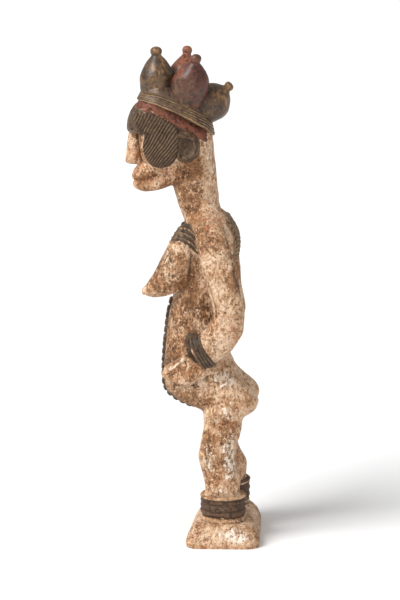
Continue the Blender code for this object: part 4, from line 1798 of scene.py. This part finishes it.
@dataclass
class Coiffure(Maker):
    """Four onion-shaped lobes with knobs on a low crown.

    Attributes:
        profile: radius and height of a lobe and its knob.
        lobes: each lobe's word, middle, axis, girth and length.
        small_knob: girth of the knobs, other than the front one.
        crown: how far out and up from the cords' upper edge each ring of the crown lies.
        crown_sides: how many points each ring has.
    """

    profile: tuple[Flat, ...] = (
        (14.5, -35.0), (18.8, -25.0), (20.9, -16.0), (21.8, -8.0), (21.8, -1.0), (20.7, 5.5),
        (18.4, 11.5), (14.9, 17.5), (11.2, 22.5), (8.2, 26.0), (6.2, 28.4), (5.5, 29.6),
        (5.9, 30.6), (6.9, 32.2), (7.3, 34.2), (6.9, 36.4), (5.4, 38.4), (2.8, 39.6),
    )
    lobes: tuple[tuple[str, Point, Point, float, float], ...] = (
        ("front", (0.0, -82.5, 579.0), (0.0, -0.04, 1.0), 1.0, 1.0),
        ("left", (20.0, -40.5, 577.5), (0.30, 0.22, 1.0), 1.05, 0.97),
        ("right", (-20.0, -49.0, 577.5), (-0.30, 0.06, 1.0), 1.02, 1.0),
        ("back", (0.0, -13.5, 553.0), (0.0, 0.75, 0.66), 1.08, 0.76),
    )
    small_knob: float = 0.86
    crown: tuple[Flat, ...] = (
        (-8.0, -4.0), (-4.2, 0.3), (-5.0, 4.0), (-8.5, 8.5), (-14.5, 13.5), (-21.0, 17.0),
        (-28.0, 19.5),
    )
    crown_sides: int = 96

    def build(self) -> None:
        """Model the lobes and crown, fuse them and paint them."""
        parts = [self.lobe(*lobe) for lobe in self.lobes]
        parts.append(self.dome())
        piece = fused(parts, "coiffure", 0.95 * MM, 7, 0.6)
        points = points_of(piece)
        out = 0.3 + 0.35 * wander(points, 24.0, 1.4)
        move_points(piece, points + normals_of(piece) * out[:, None])
        self.paint(piece)
        self.shop.dress(piece, HAIR)

    def lobe(self, word: str, place: Point, axis: Point, girth: float, length: float) -> Piece:
        """Turn one lobe with its knob.

        Args:
            word: which lobe.
            place: its middle in millimetres.
            axis: the way it points.
            girth: factor on its radius.
            length: factor on its height.

        Returns:
            The lobe.
        """
        knob = 1.0 if word == "front" else self.small_knob
        profile = []
        for radius, height in self.profile:
            lean = float(ease(20.0, 29.0, np.array(height)))
            profile.append((radius * (girth + (knob - girth) * lean), height * length))
        piece = turned(f"lobe_{word}", profile, 48)
        set_down(piece, place, axis)
        return piece

    def dome(self) -> Piece:
        """Draw the low crown between the lobes up ring by ring from the cords' upper edge.

        Returns:
            The crown.
        """
        count, lift = self.crown_sides, 3.0
        deselect()
        bpy.ops.mesh.primitive_circle_add(vertices=count, radius=0.03, fill_type="NGON")
        piece = bpy.context.object
        piece.name = "crown"
        edit(piece)
        for _ in self.crown[1:]:
            bpy.ops.mesh.extrude_region_move(TRANSFORM_OT_translate={"value": (0, 0, lift * MM)})
        bpy.ops.object.mode_set(mode="OBJECT")
        points = points_of(piece)
        levels = np.round(points[:, 2] / lift).astype(int)
        angles = np.mod(np.arctan2(points[:, 1], points[:, 0]), 2 * math.pi)
        sides = np.round(angles / (2 * math.pi) * count).astype(int) % count
        for level, (out, up) in enumerate(self.crown):
            ring = np.array(band_ring(out, 1.0, count)) + (0, 0, up)
            points[levels == level] = ring[sides[levels == level]]
        move_points(piece, points)
        edit(piece)
        turn_faces_out()
        return piece

    def paint(self, piece: Piece) -> None:
        """Paint the left lobe dark red, the right one orange red, and leave the knobs worn.

        Args:
            piece: the fused coiffure.
        """
        paint_relief(piece, 24, 1.3)
        red, bright, worn = (
            dabbed(points_of(piece), dabs) for dabs in (LOBE_RED, LOBE_BRIGHT, LOBE_WORN)
        )
        paint_masks(piece, red=red, rust=bright, chalk=worn)


# --- relief on the head ---


@dataclass
class CheekPatch(Maker):
    """The ribbed patch on each cheek; the ribs fan out from a far point."""

    outline: tuple[Flat, ...] = (
        (-111, 540), (-101, 542.5), (-90, 541.5), (-72, 535), (-58, 526), (-54.5, 509), (-55, 493),
        (-60, 480), (-70, 473.2), (-82, 472), (-92, 477), (-98.5, 487), (-100.5, 498),
        (-98.5, 509), (-99, 517), (-106, 523), (-111, 531),
    )
    centre: Flat = (-79.0, 508.0)
    fan: Flat = (-186.0, 340.0)
    pitch: float = 3.5
    thickness: float = 1.3
    depth: float = 1.2

    def phase(self, across: Array, up: Array) -> Array:
        """Find which rib each point is at; the ribs fan out slightly from a far point.

        Args:
            across: depth of each point.
            up: height of each point.

        Returns:
            The rib's number, with the share of the way to the next.
        """
        centre = np.array(self.centre) - np.array(self.fan)
        turn = np.arctan2(up - self.fan[1], across - self.fan[0]) - math.atan2(centre[1], centre[0])
        wave = 0.10 * np.sin(up * 0.19) + 0.06 * np.sin(across * 0.31 + up * 0.11)
        return turn * float(np.hypot(*centre)) / self.pitch + wave

    def relief(self, across: Array, up: Array, share: Array) -> Array:
        """Height of the patch: rounded ribs with narrow grooves, falling at the edge."""
        crest = np.abs(np.cos(np.pi * self.phase(across, up))) ** 0.7
        return self.thickness + self.depth * crest * ease(0.97, 0.90, share)

    def build(self, skin: Skin) -> None:
        """Lay the patch on the left cheek and copy it to the right.

        Args:
            skin: the head's skin.
        """
        piece = ReliefSheet(
            "cheek_patch_left", self.outline, self.centre, 0, self.relief,
            rings=72, sides=360, root=5.0,
        ).build(skin)
        points = points_of(piece)
        crest = np.abs(np.cos(np.pi * self.phase(points[:, 1], points[:, 2])))
        worn = 0.85 + 0.3 * wander(points, 13.0, 1.0) + 0.25 * wander(points, 41.0, 2.0)
        # Rib crests painted light, for worn paint and painted highlight; grooves between them
        # painted dark, for dirt and painted shade.
        paint(piece, Mask.RIDGE, ease(0.84, 0.99, crest) * worn)
        paint(piece, Mask.CREVICE, ease(0.6, 0.1, crest))
        paint(piece, Mask.RED, 0.0)
        self.shop.dress_pair(piece, PATCH)


@dataclass
class Ear(Maker):
    """A curled ear: thick rim open to the front, with a bowl and a low lobe inside."""

    outline: tuple[Flat, ...] = (
        (-57.5, 516), (-48, 519.5), (-38, 517), (-31.5, 509), (-29.5, 499), (-33, 489.5),
        (-41, 483), (-51, 481), (-57, 485), (-58.2, 500),
    )
    centre: Flat = (-45.0, 500.0)
    out: float = 36.6

    def relief(self, across: Array, up: Array, share: Array) -> Array:
        """Height above the ear's middle plane.

        Args:
            across: depth of each point.
            up: height of each point.
            share: share of the way from the centre to the edge.

        Returns:
            The height at each point.
        """
        angle = np.arctan2(up - self.centre[1], across - self.centre[0])
        opened = ease(2.0, 2.75, np.abs(angle))
        rim = np.exp(-(((share - 0.80) / 0.13) ** 2)) * (4.6 - 4.4 * opened)
        bowl = -2.2 * ease(0.62, 0.25, share) + 0.8 * opened
        lobe = 2.0 * np.exp(-(((across + 46) / 3.4) ** 2) - ((up - 493) / 4.5) ** 2)
        return rim + bowl + lobe

    def build(self) -> None:
        """Model the left ear and copy it to the right."""
        piece = ReliefSheet(
            "ear_left", self.outline, self.centre, 0, self.relief, rings=44, sides=160,
            root=7.0, plane=lambda across: np.full(len(across), self.out),
        ).build()
        apply_modifier(piece, "SMOOTH", factor=0.5, iterations=6)
        top = ease(500, 517, points_of(piece)[:, 2])
        paint_relief(piece, 12, 0.9, ridge_share=0.15 + 0.45 * top)
        paint(piece, Mask.RED, 0.0)
        self.shop.dress_pair(piece, PATCH)


@dataclass
class Eye(Maker):
    """A small round eye beside the root of the nose: a low rim round a lid."""

    place: Flat = (-110.5, 509.0)
    half_width: float = 3.1
    half_height: float = 2.5
    sides: int = 32

    def build(self, skin: Skin) -> None:
        """Lay the left eye on the face and copy it to the right.

        Args:
            skin: the head's skin.
        """
        y, z = self.place
        rim = []
        for angle in whole_turn(self.sides):
            look = (y + self.half_width * math.cos(angle), z + self.half_height * math.sin(angle))
            rim.append(tuple(skin.from_side((60.0, *look), (-1, 0, 0))))
        parts = [rounded_cord("eye_rim", rim, 0.75, closed=True)]
        front, back = rim[self.sides // 2], rim[0]
        middle = (Vector(front) + Vector(back)) / 2 + Vector((0.5, -0.4, 0))
        lid = [front, tuple(middle), back]
        parts.append(rounded_cord("eye_lid", smooth_path(lid, 8), 0.95, taper=True))
        piece = fused(parts, "eye_left", 0.35 * MM, 2)
        paint_relief(piece, 6, 0.22)
        paint_masks(piece, patina=0.3, red=0.3, soil=0.9, chalk=0.0, rust=0.8)
        self.shop.dress_pair(piece, CHALK)


# --- relief on the body ---


@dataclass
class BellyScales(Maker):
    """The row of flat raised scars down the belly and under it."""

    line: tuple[Flat, ...] = (
        (-64.5, 304), (-69.2, 285), (-72.5, 258), (-74.5, 235), (-75.4, 212), (-74, 192),
        (-66, 179.5), (-53, 171.5), (-38, 165),
    )
    pitch: float = 9.3
    half_width: float = 7.6
    half_length: float = 4.25
    half_depth: float = 2.5
    band: float = 9.6

    def scale(self) -> Piece:
        """Model one scar: a box with its front edges drawn in and rounded.

        Returns:
            The scar.
        """
        deselect()
        bpy.ops.mesh.primitive_cube_add(size=2.0)
        piece = bpy.context.object
        piece.name = "belly_scale"
        piece.scale = (self.half_width * MM, self.half_depth * MM, self.half_length * MM)
        bpy.ops.object.transform_apply(location=False, rotation=False, scale=True)
        edit(piece, "DESELECT")
        bpy.ops.object.mode_set(mode="OBJECT")
        for face in piece.data.polygons:
            face.select = face.normal.y < -0.5
        bpy.ops.object.mode_set(mode="EDIT")
        bpy.ops.mesh.select_mode(type="FACE")
        bpy.ops.transform.resize(value=(0.82, 1, 0.80))
        bpy.ops.mesh.inset(thickness=0.0012, depth=0.0005)
        bpy.ops.mesh.select_all(action="SELECT")
        bpy.ops.mesh.select_mode(type="VERT")
        bpy.ops.object.mode_set(mode="OBJECT")
        apply_modifier(piece, "BEVEL", width=0.0009, segments=3, limit_method="ANGLE")
        return piece

    def build(self) -> None:
        """Copy the scar along the belly's middle line and fuse the row with its low band."""
        dense = [Vector((0.0, y, z)) for y, z in smooth_flat(self.line, 12)]
        model = self.scale()
        parts = []
        walked = self.pitch / 2
        for here, there in zip(dense, dense[1:]):
            walked += (there - here).length
            if walked < self.pitch:
                continue
            walked -= self.pitch
            along = (here - there).normalized()
            out = Vector((0, -along.z, along.y))
            frame = Matrix((Vector((1, 0, 0)), -out, along)).transposed().to_4x4()
            copy = linked("belly_scale", model.data.copy())
            nudge = Vector((0.5 * math.sin(len(parts) * 2.1), 0, 0))
            copy.data.transform(Matrix.Translation((there + nudge) * MM) @ frame)
            parts.append(copy)
        bpy.data.objects.remove(model)
        for x in (-self.band, self.band):
            edge = [(x, p.y + 2.2, p.z) for p in dense[::3]]
            parts.append(rounded_cord("belly_edge", edge, 1.5))
        piece = fused(parts, "belly_scales", 0.72 * MM, 2)
        paint_relief(piece, 9, 0.55)
        paint(piece, Mask.RED, 0.0)
        self.shop.dress(piece, ANKLE)


@dataclass
class BackPanel(Maker):
    """The notched scar panel between the shoulder blades."""

    outline: tuple[Flat, ...] = (
        (-24, 409), (0, 412), (24, 409), (31, 397), (31, 372), (24, 354), (0, 349), (-24, 354),
        (-31, 372), (-31, 397),
    )
    centre: Flat = (0.0, 381.0)
    pitch: float = 5.6
    nick: float = 5.2

    def relief(self, across: Array, up: Array, share: Array) -> Array:
        """Rows of ridges, each nicked across, on a thin plate.

        Args:
            across: distance of each point from the middle.
            up: height of each point.
            share: share of the way from the centre to the edge.

        Returns:
            The relief's height at each point.
        """
        rows = np.abs(np.cos(np.pi * (up + 0.02 * across**2) / self.pitch)) ** 0.8
        nicks = 0.75 + 0.25 * np.cos(2 * np.pi * across / self.nick)
        return 0.6 + 2.8 * rows * nicks * ease(0.99, 0.9, share)

    def build(self, skin: Skin) -> None:
        """Lay the panel on the back.

        Args:
            skin: the trunk's skin.
        """
        piece = ReliefSheet(
            "back_panel", self.outline, self.centre, 1, self.relief, rings=56, sides=260,
            root=3.0,
        ).build(skin)
        paint_relief(piece, 10, 0.5)
        paint(piece, Mask.RED, 0.0)
        self.shop.dress(piece, CORD)


@dataclass
class ChestArcs(Maker):
    """Thin raised arcs over each breast."""

    paths: tuple[tuple[Flat, ...], ...] = (
        ((-27, 362.5), (-35.9, 370.4), (-45.5, 377.4), (-54, 381.5), (-61, 381)),
        ((-29, 372), (-36, 379), (-45, 384.5), (-53, 387), (-60, 386)),
        ((-31, 382), (-38, 387.5), (-46, 391.5), (-53, 392.5), (-58, 391.5)),
        ((-34, 392), (-40, 396), (-46, 398), (-52, 397.5)),
    )
    thickness: float = 1.35

    def laid(self, skin: Skin, path: Sequence[Flat], side: Side) -> list[Point]:
        """Lay one arc: over the breast as seen from the side, then inwards as seen from the front.

        Args:
            skin: the trunk's skin.
            path: the arc as seen from the side.
            side: which side.

        Returns:
            The arc's points on the skin.
        """
        result = []
        for y, z in smooth_flat(path, 7):
            hit = skin.from_side((90.0 * side.value, y, z), (-side.value, 0, 0))
            if hit is not None and abs(hit.x) > 18.0:
                result.append(tuple(hit))
        x, _, z = result[-1]
        for step in range(1, 13):
            share = step / 13
            hit = skin.from_side((x * (1 - share), -200.0, z - 5.0 * share), (0, 1, 0))
            if hit is not None and hit.y > -72:
                result.append(tuple(hit))
        return result

    def build(self, skin: Skin, side: Side) -> None:
        """Lay the arcs on one side of the chest.

        Args:
            skin: the trunk's skin.
            side: which side.
        """
        parts = [
            rounded_cord("arc", self.laid(skin, path, side), self.thickness, taper=True)
            for path in self.paths
        ]
        piece = fused(parts, f"chest_arcs_{side.word}", 0.6 * MM, 2)
        paint_relief(piece, 8, 0.4, ridge_share=0.8)
        paint_masks(piece, red=0.0, soil=0.6, chalk=0.2, rust=0.3)
        _, y, z = points_of(piece).T
        height = z - np.interp(y, *zip(*YOKE_EDGE))
        paint(piece, Mask.PATINA, 0.1 + 0.55 * ease(1.5, 4.0, height))
        self.shop.dress(piece, CHALK)


@dataclass
class Cuff(Maker):
    """Four ridges round each wrist."""

    centre: Point = (52.5, -24.0, 247.0)
    way: Point = (-0.22, -0.87, -0.44)
    count: int = 4
    pitch: float = 3.7
    half_depth: float = 22.0
    half_width: float = 14.2
    radius: float = 1.95

    def ring(self, shift: float, shrink: float) -> list[Point]:
        """Draw an oval loop round the wrist.

        Args:
            shift: how far along the wrist, in millimetres.
            shrink: how far it is drawn in.

        Returns:
            The loop's points.
        """
        along = Vector(self.way).normalized()
        across = (Vector((1, 0, 0)) - along * along.x).normalized()
        deep = along.cross(across)
        middle = Vector(self.centre) + along * shift
        result = []
        for angle in whole_turn(72):
            c, s = squarish(math.cos(angle), 0.9), squarish(math.sin(angle), 0.9)
            point = middle + across * c * (self.half_width - shrink)
            point += deep * s * (self.half_depth - shrink)
            point += along * 0.35 * math.sin(3 * angle + shift)
            result.append(tuple(point))
        return result

    def build(self) -> None:
        """Model the left cuff and copy it to the right."""
        parts = []
        for row in range(self.count):
            shift = (row - (self.count - 1) / 2) * self.pitch
            parts.append(rounded_cord("ridge", self.ring(shift, 1.0), self.radius, closed=True))
            parts.append(rounded_cord("core", self.ring(shift, 3.2), 2.6, closed=True))
        piece = fused(parts, "cuff_left", 0.68 * MM, 2)
        paint_relief(piece, 8, 0.45)
        paint(piece, Mask.RED, 0.0)
        self.shop.dress_pair(piece, ANKLE)


@dataclass
class Hand(Maker):
    """The flat leaf-shaped hand that lies on the side of the belly, with its thumb along the top.

    Attributes:
        outline: its edge as depth and height.
        centre: a point that sees the whole outline.
        thumb: the thumb's middle line.
        face: how far out the hand lies at each depth.
        cut_away: how far beneath the thumb's line its cut runs.
    """

    outline: tuple[Flat, ...] = (
        (-74.4, 214.0), (-72.6, 218.6), (-67.5, 224.2), (-61.3, 229.2), (-54.5, 235.0),
        (-48.5, 240.4), (-44.0, 239.0), (-34.4, 233.6), (-26.9, 228.6), (-20.5, 223.6),
        (-25.7, 217.4), (-30.7, 212.8), (-36.3, 208.2), (-41.8, 205.0), (-48.1, 203.8),
        (-55.5, 204.9), (-64.2, 207.0), (-71.0, 209.2),
    )
    centre: Flat = (-49.0, 220.0)
    thumb: tuple[Flat, ...] = (
        (-72.6, 216.0), (-66.5, 221.4), (-60.3, 226.4), (-53.5, 232.2), (-48.0, 237.6),
    )
    face: tuple[Flat, ...] = (
        (-78, 37.0), (-73, 42.5), (-66, 49.0), (-57, 54.0), (-46, 57.6), (-34, 59.2), (-20, 58.6),
    )
    cut_away: float = 4.6

    def from_thumb(self, across: Array, up: Array) -> Array:
        """Measure how far points are from the thumb's middle line.

        Args:
            across: depth of each point.
            up: height of each point.

        Returns:
            The distances in millimetres.
        """
        near = np.full(len(across), UNSEEN)
        for a, b in smooth_flat(self.thumb, 8):
            near = np.minimum(near, np.hypot(across - a, up - b))
        return near

    def relief(self, across: Array, up: Array, share: Array) -> Array:
        """Height over the hand's plane: a soft middle ridge, the thumb and the cut beneath it.

        Args:
            across: depth of each point.
            up: height of each point.
            share: share of the way from the centre to the edge.

        Returns:
            The height at each point.
        """
        near = self.from_thumb(across, up)
        thumb = 1.9 * np.exp(-((near / 2.1) ** 2))
        cut = np.exp(-(((near - self.cut_away) / 1.5) ** 2))
        cut = -1.5 * cut * ease(0.99, 0.9, share)
        ridge = np.abs((up - 216.0) - 0.28 * (across + 50.0)) / 16.0
        return 0.4 + thumb + cut - 2.6 * ridge**1.6 - 0.8 * ease(0.8, 0.96, share)

    def build(self) -> None:
        """Model the left hand and its mirrored copy."""
        piece = ReliefSheet(
            "hand_left", self.outline, self.centre, 0, self.relief, rings=44, sides=200,
            root=11.0, plane=lambda across: np.interp(across, *zip(*self.face)),
        ).build()
        apply_modifier(piece, "SMOOTH", factor=0.5, iterations=2)
        points = points_of(piece)
        out = 0.25 * wander(points, 15.0, 0.9)
        move_points(piece, points + normals_of(piece) * out[:, None])
        near = self.from_thumb(points[:, 1], points[:, 2])
        # Painted shadow along the cut under the thumb.
        line = np.exp(-(((near - self.cut_away) / 1.6) ** 2))
        line = line * ease(-50, -54, points[:, 1])
        # Painted highlight along the thumb's crest: chalk crust, with the darkening taken off.
        ridge = np.exp(-((near / 1.9) ** 2))
        paint_relief(piece, 12, 0.8, shade=0.9 * line)
        soil = 0.5 + 0.3 * wander(points, 24.0, 2.0) - 1.2 * ridge + 0.6 * line
        rust = 0.7 + 0.3 * wander(points, 30.0, 1.0)
        paint_masks(piece, soil=soil, chalk=0.1 + 1.2 * ridge, rust=rust, red=0.0, patina=0.0)
        self.shop.dress_pair(piece, CHALK)


@dataclass
class Anklet(Maker):
    """Stacked rings round an ankle with a pale rim above and below."""

    centre: Flat = (38.5, 0.5)
    right_setback: float = 3.5
    sole: float = 28.0
    profile: tuple[Flat, ...] = (
        (24.0, -3.0), (26.8, -1.0), (28.0, 1.0), (28.3, 3.4), (27.2, 5.2), (26.0, 6.4), (26.6, 8.0),
        (28.4, 9.4), (28.9, 11.4), (28.2, 13.6), (26.9, 15.0), (28.2, 16.6), (28.9, 18.8),
        (28.1, 21.2), (26.8, 22.6), (28.0, 24.0), (28.6, 26.0), (27.8, 27.8), (27.0, 28.6),
        (28.6, 29.6), (29.1, 31.0), (28.6, 32.3), (26.2, 32.9), (22.0, 32.4), (18.0, 31.6),
    )

    def build(self, side: Side) -> None:
        """Model one anklet and leave its rims pale; the right one keeps only its lower rim pale.

        Args:
            side: which ankle.
        """
        piece = turned(f"anklet_{side.word}", self.profile, 112)
        middle_x = side.value * self.centre[0]
        middle_y = self.centre[1] + (0.0 if side is Side.LEFT else self.right_setback)
        set_down(piece, (middle_x, middle_y, self.sole), (0, 0, 1))
        apply_modifier(piece, "SUBSURF", levels=1, render_levels=1)
        points = points_of(piece)
        x, y, z = points.T
        turn = np.arctan2(y - middle_y, x - middle_x)
        high = z - self.sole
        between = ease(4.0, 8.0, high) * ease(30.0, 26.0, high)
        wave = 0.75 * np.sin(2 * turn + 0.28 * high + side.value)
        wave += 0.45 * np.sin(5 * turn - 0.4 * high)
        points[:, 2] += wave * between + 0.35 * np.sin(2 * turn + 1.0) * ease(26, 30, high)
        grow = 1 + 0.006 * np.sin(3 * turn + 0.5 * high)
        points[:, 0] = middle_x + (x - middle_x) * grow
        points[:, 1] = middle_y + (y - middle_y) * grow
        move_points(piece, points)
        bands = ease(5.0, 7.5, high) * ease(31.0, 29.6, high)
        if side is Side.RIGHT:
            bands = ease(3.5, 6.0, high)
        paint_relief(piece, 14, 0.6, ridge_share=1 - 0.75 * bands)
        paint_masks(piece, patina=bands, red=0.15 * bands, soil=0.5, chalk=0.3, rust=0.3)
        self.shop.dress(piece, CHALK)


# --- the studio ---


@dataclass
class Studio:
    """Plain pale floor, soft lights and the camera at the photograph's viewing angle."""

    azimuth: float = 92.0
    elevation: float = 12.8
    distance: float = 4.0
    target: Point = (0.0, -30.0, 300.0)
    lens: float = 192.0
    surround: float = 0.46

    def build(self) -> None:
        """Set up the whole studio."""
        self.floor()
        self.lights()
        self.camera()

    def floor(self) -> None:
        """A wide pale floor."""
        deselect()
        bpy.ops.mesh.primitive_plane_add(size=30.0)
        floor = bpy.context.object
        floor.name = "studio_floor"
        material, sheet, shader = new_material("studio_paper")
        place = sheet.add("ShaderNodeTexCoord").outputs["Object"]
        fleck = sheet.noise(place, 900.0, 2.0)
        paper = sheet.mix(fleck, srgb(251, 251, 251), srgb(254, 254, 254))
        sheet.feed(shader.inputs["Base Color"], paper)
        shader.inputs["Roughness"].default_value = 0.95
        shader.inputs["Specular IOR Level"].default_value = 0.1
        floor.data.materials.append(material)

    def light(self, name: str, way: Point, spread: float, power: float) -> None:
        """One soft light from afar.

        Args:
            name: name of the light.
            way: where it comes from.
            spread: how wide it is, in degrees.
            power: its strength.
        """
        lamp = bpy.data.lights.new(name, "SUN")
        lamp.angle = math.radians(spread)
        lamp.energy = power
        item = linked(name, lamp)
        item.location = Vector(way) * 3
        item.rotation_euler = (-Vector(way)).to_track_quat("-Z", "Y").to_euler()

    def lights(self) -> None:
        """A broad key from the front left above, a weak fill and an even white surround."""
        self.light("key_light", (0.52, -0.74, 0.86), 34.0, 2.9)
        self.light("fill_light", (0.90, 0.35, 0.30), 50.0, 0.30)
        world = bpy.data.worlds.new("studio_surround")
        world.use_nodes = True
        sheet = Sheet(world.node_tree)
        glow = world.node_tree.nodes["Background"]
        glow.inputs["Color"].default_value = (1, 1, 1, 1)
        seen = sheet.add("ShaderNodeLightPath").outputs["Is Camera Ray"]
        sheet.feed(glow.inputs["Strength"], sheet.span(seen, 0.0, 1.0, self.surround, 1.05))
        bpy.context.scene.world = world
        bpy.context.scene.view_settings.view_transform = "Standard"

    def camera(self) -> None:
        """The camera at the photograph's angle."""
        turn, rise = math.radians(self.azimuth), math.radians(self.elevation)
        back = Vector((
            math.sin(turn) * math.cos(rise), -math.cos(turn) * math.cos(rise), math.sin(rise)
        ))
        lens = bpy.data.cameras.new("studio_camera")
        lens.lens = self.lens
        lens.sensor_width = 36.0
        lens.clip_end = 100.0
        item = linked("studio_camera", lens)
        item.location = Vector(self.target) * MM + back * self.distance
        item.rotation_euler = (-back).to_track_quat("-Z", "Y").to_euler()
        bpy.context.scene.camera = item


def main() -> None:
    """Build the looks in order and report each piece."""
    logging.basicConfig(level=logging.INFO, format="%(message)s")
    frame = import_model()
    block = frame["nodes"][NODE]
    Studio().build()
    shop = Workshop()
    trunk = Trunk(shop).build(block)
    head = Head(shop).build(block)
    Base(shop).build(block)
    Coiffure(shop).build()
    Cords(shop).build()
    BellyScales(shop).build()
    trunk_skin, head_skin = Skin(trunk), Skin(head)
    BackPanel(shop).build(trunk_skin)
    Hand(shop).build()
    CheekPatch(shop).build(head_skin)
    Ear(shop).build()
    Eye(shop).build(head_skin)
    Cuff(shop).build()
    for side in Side:
        ChestArcs(shop).build(trunk_skin, side)
        Anklet(shop).build(side)
    for piece in shop.pieces:
        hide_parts(NODE)
    LOG.info("pieces: %d", len(shop.pieces))


if __name__ == "__main__":
    main()
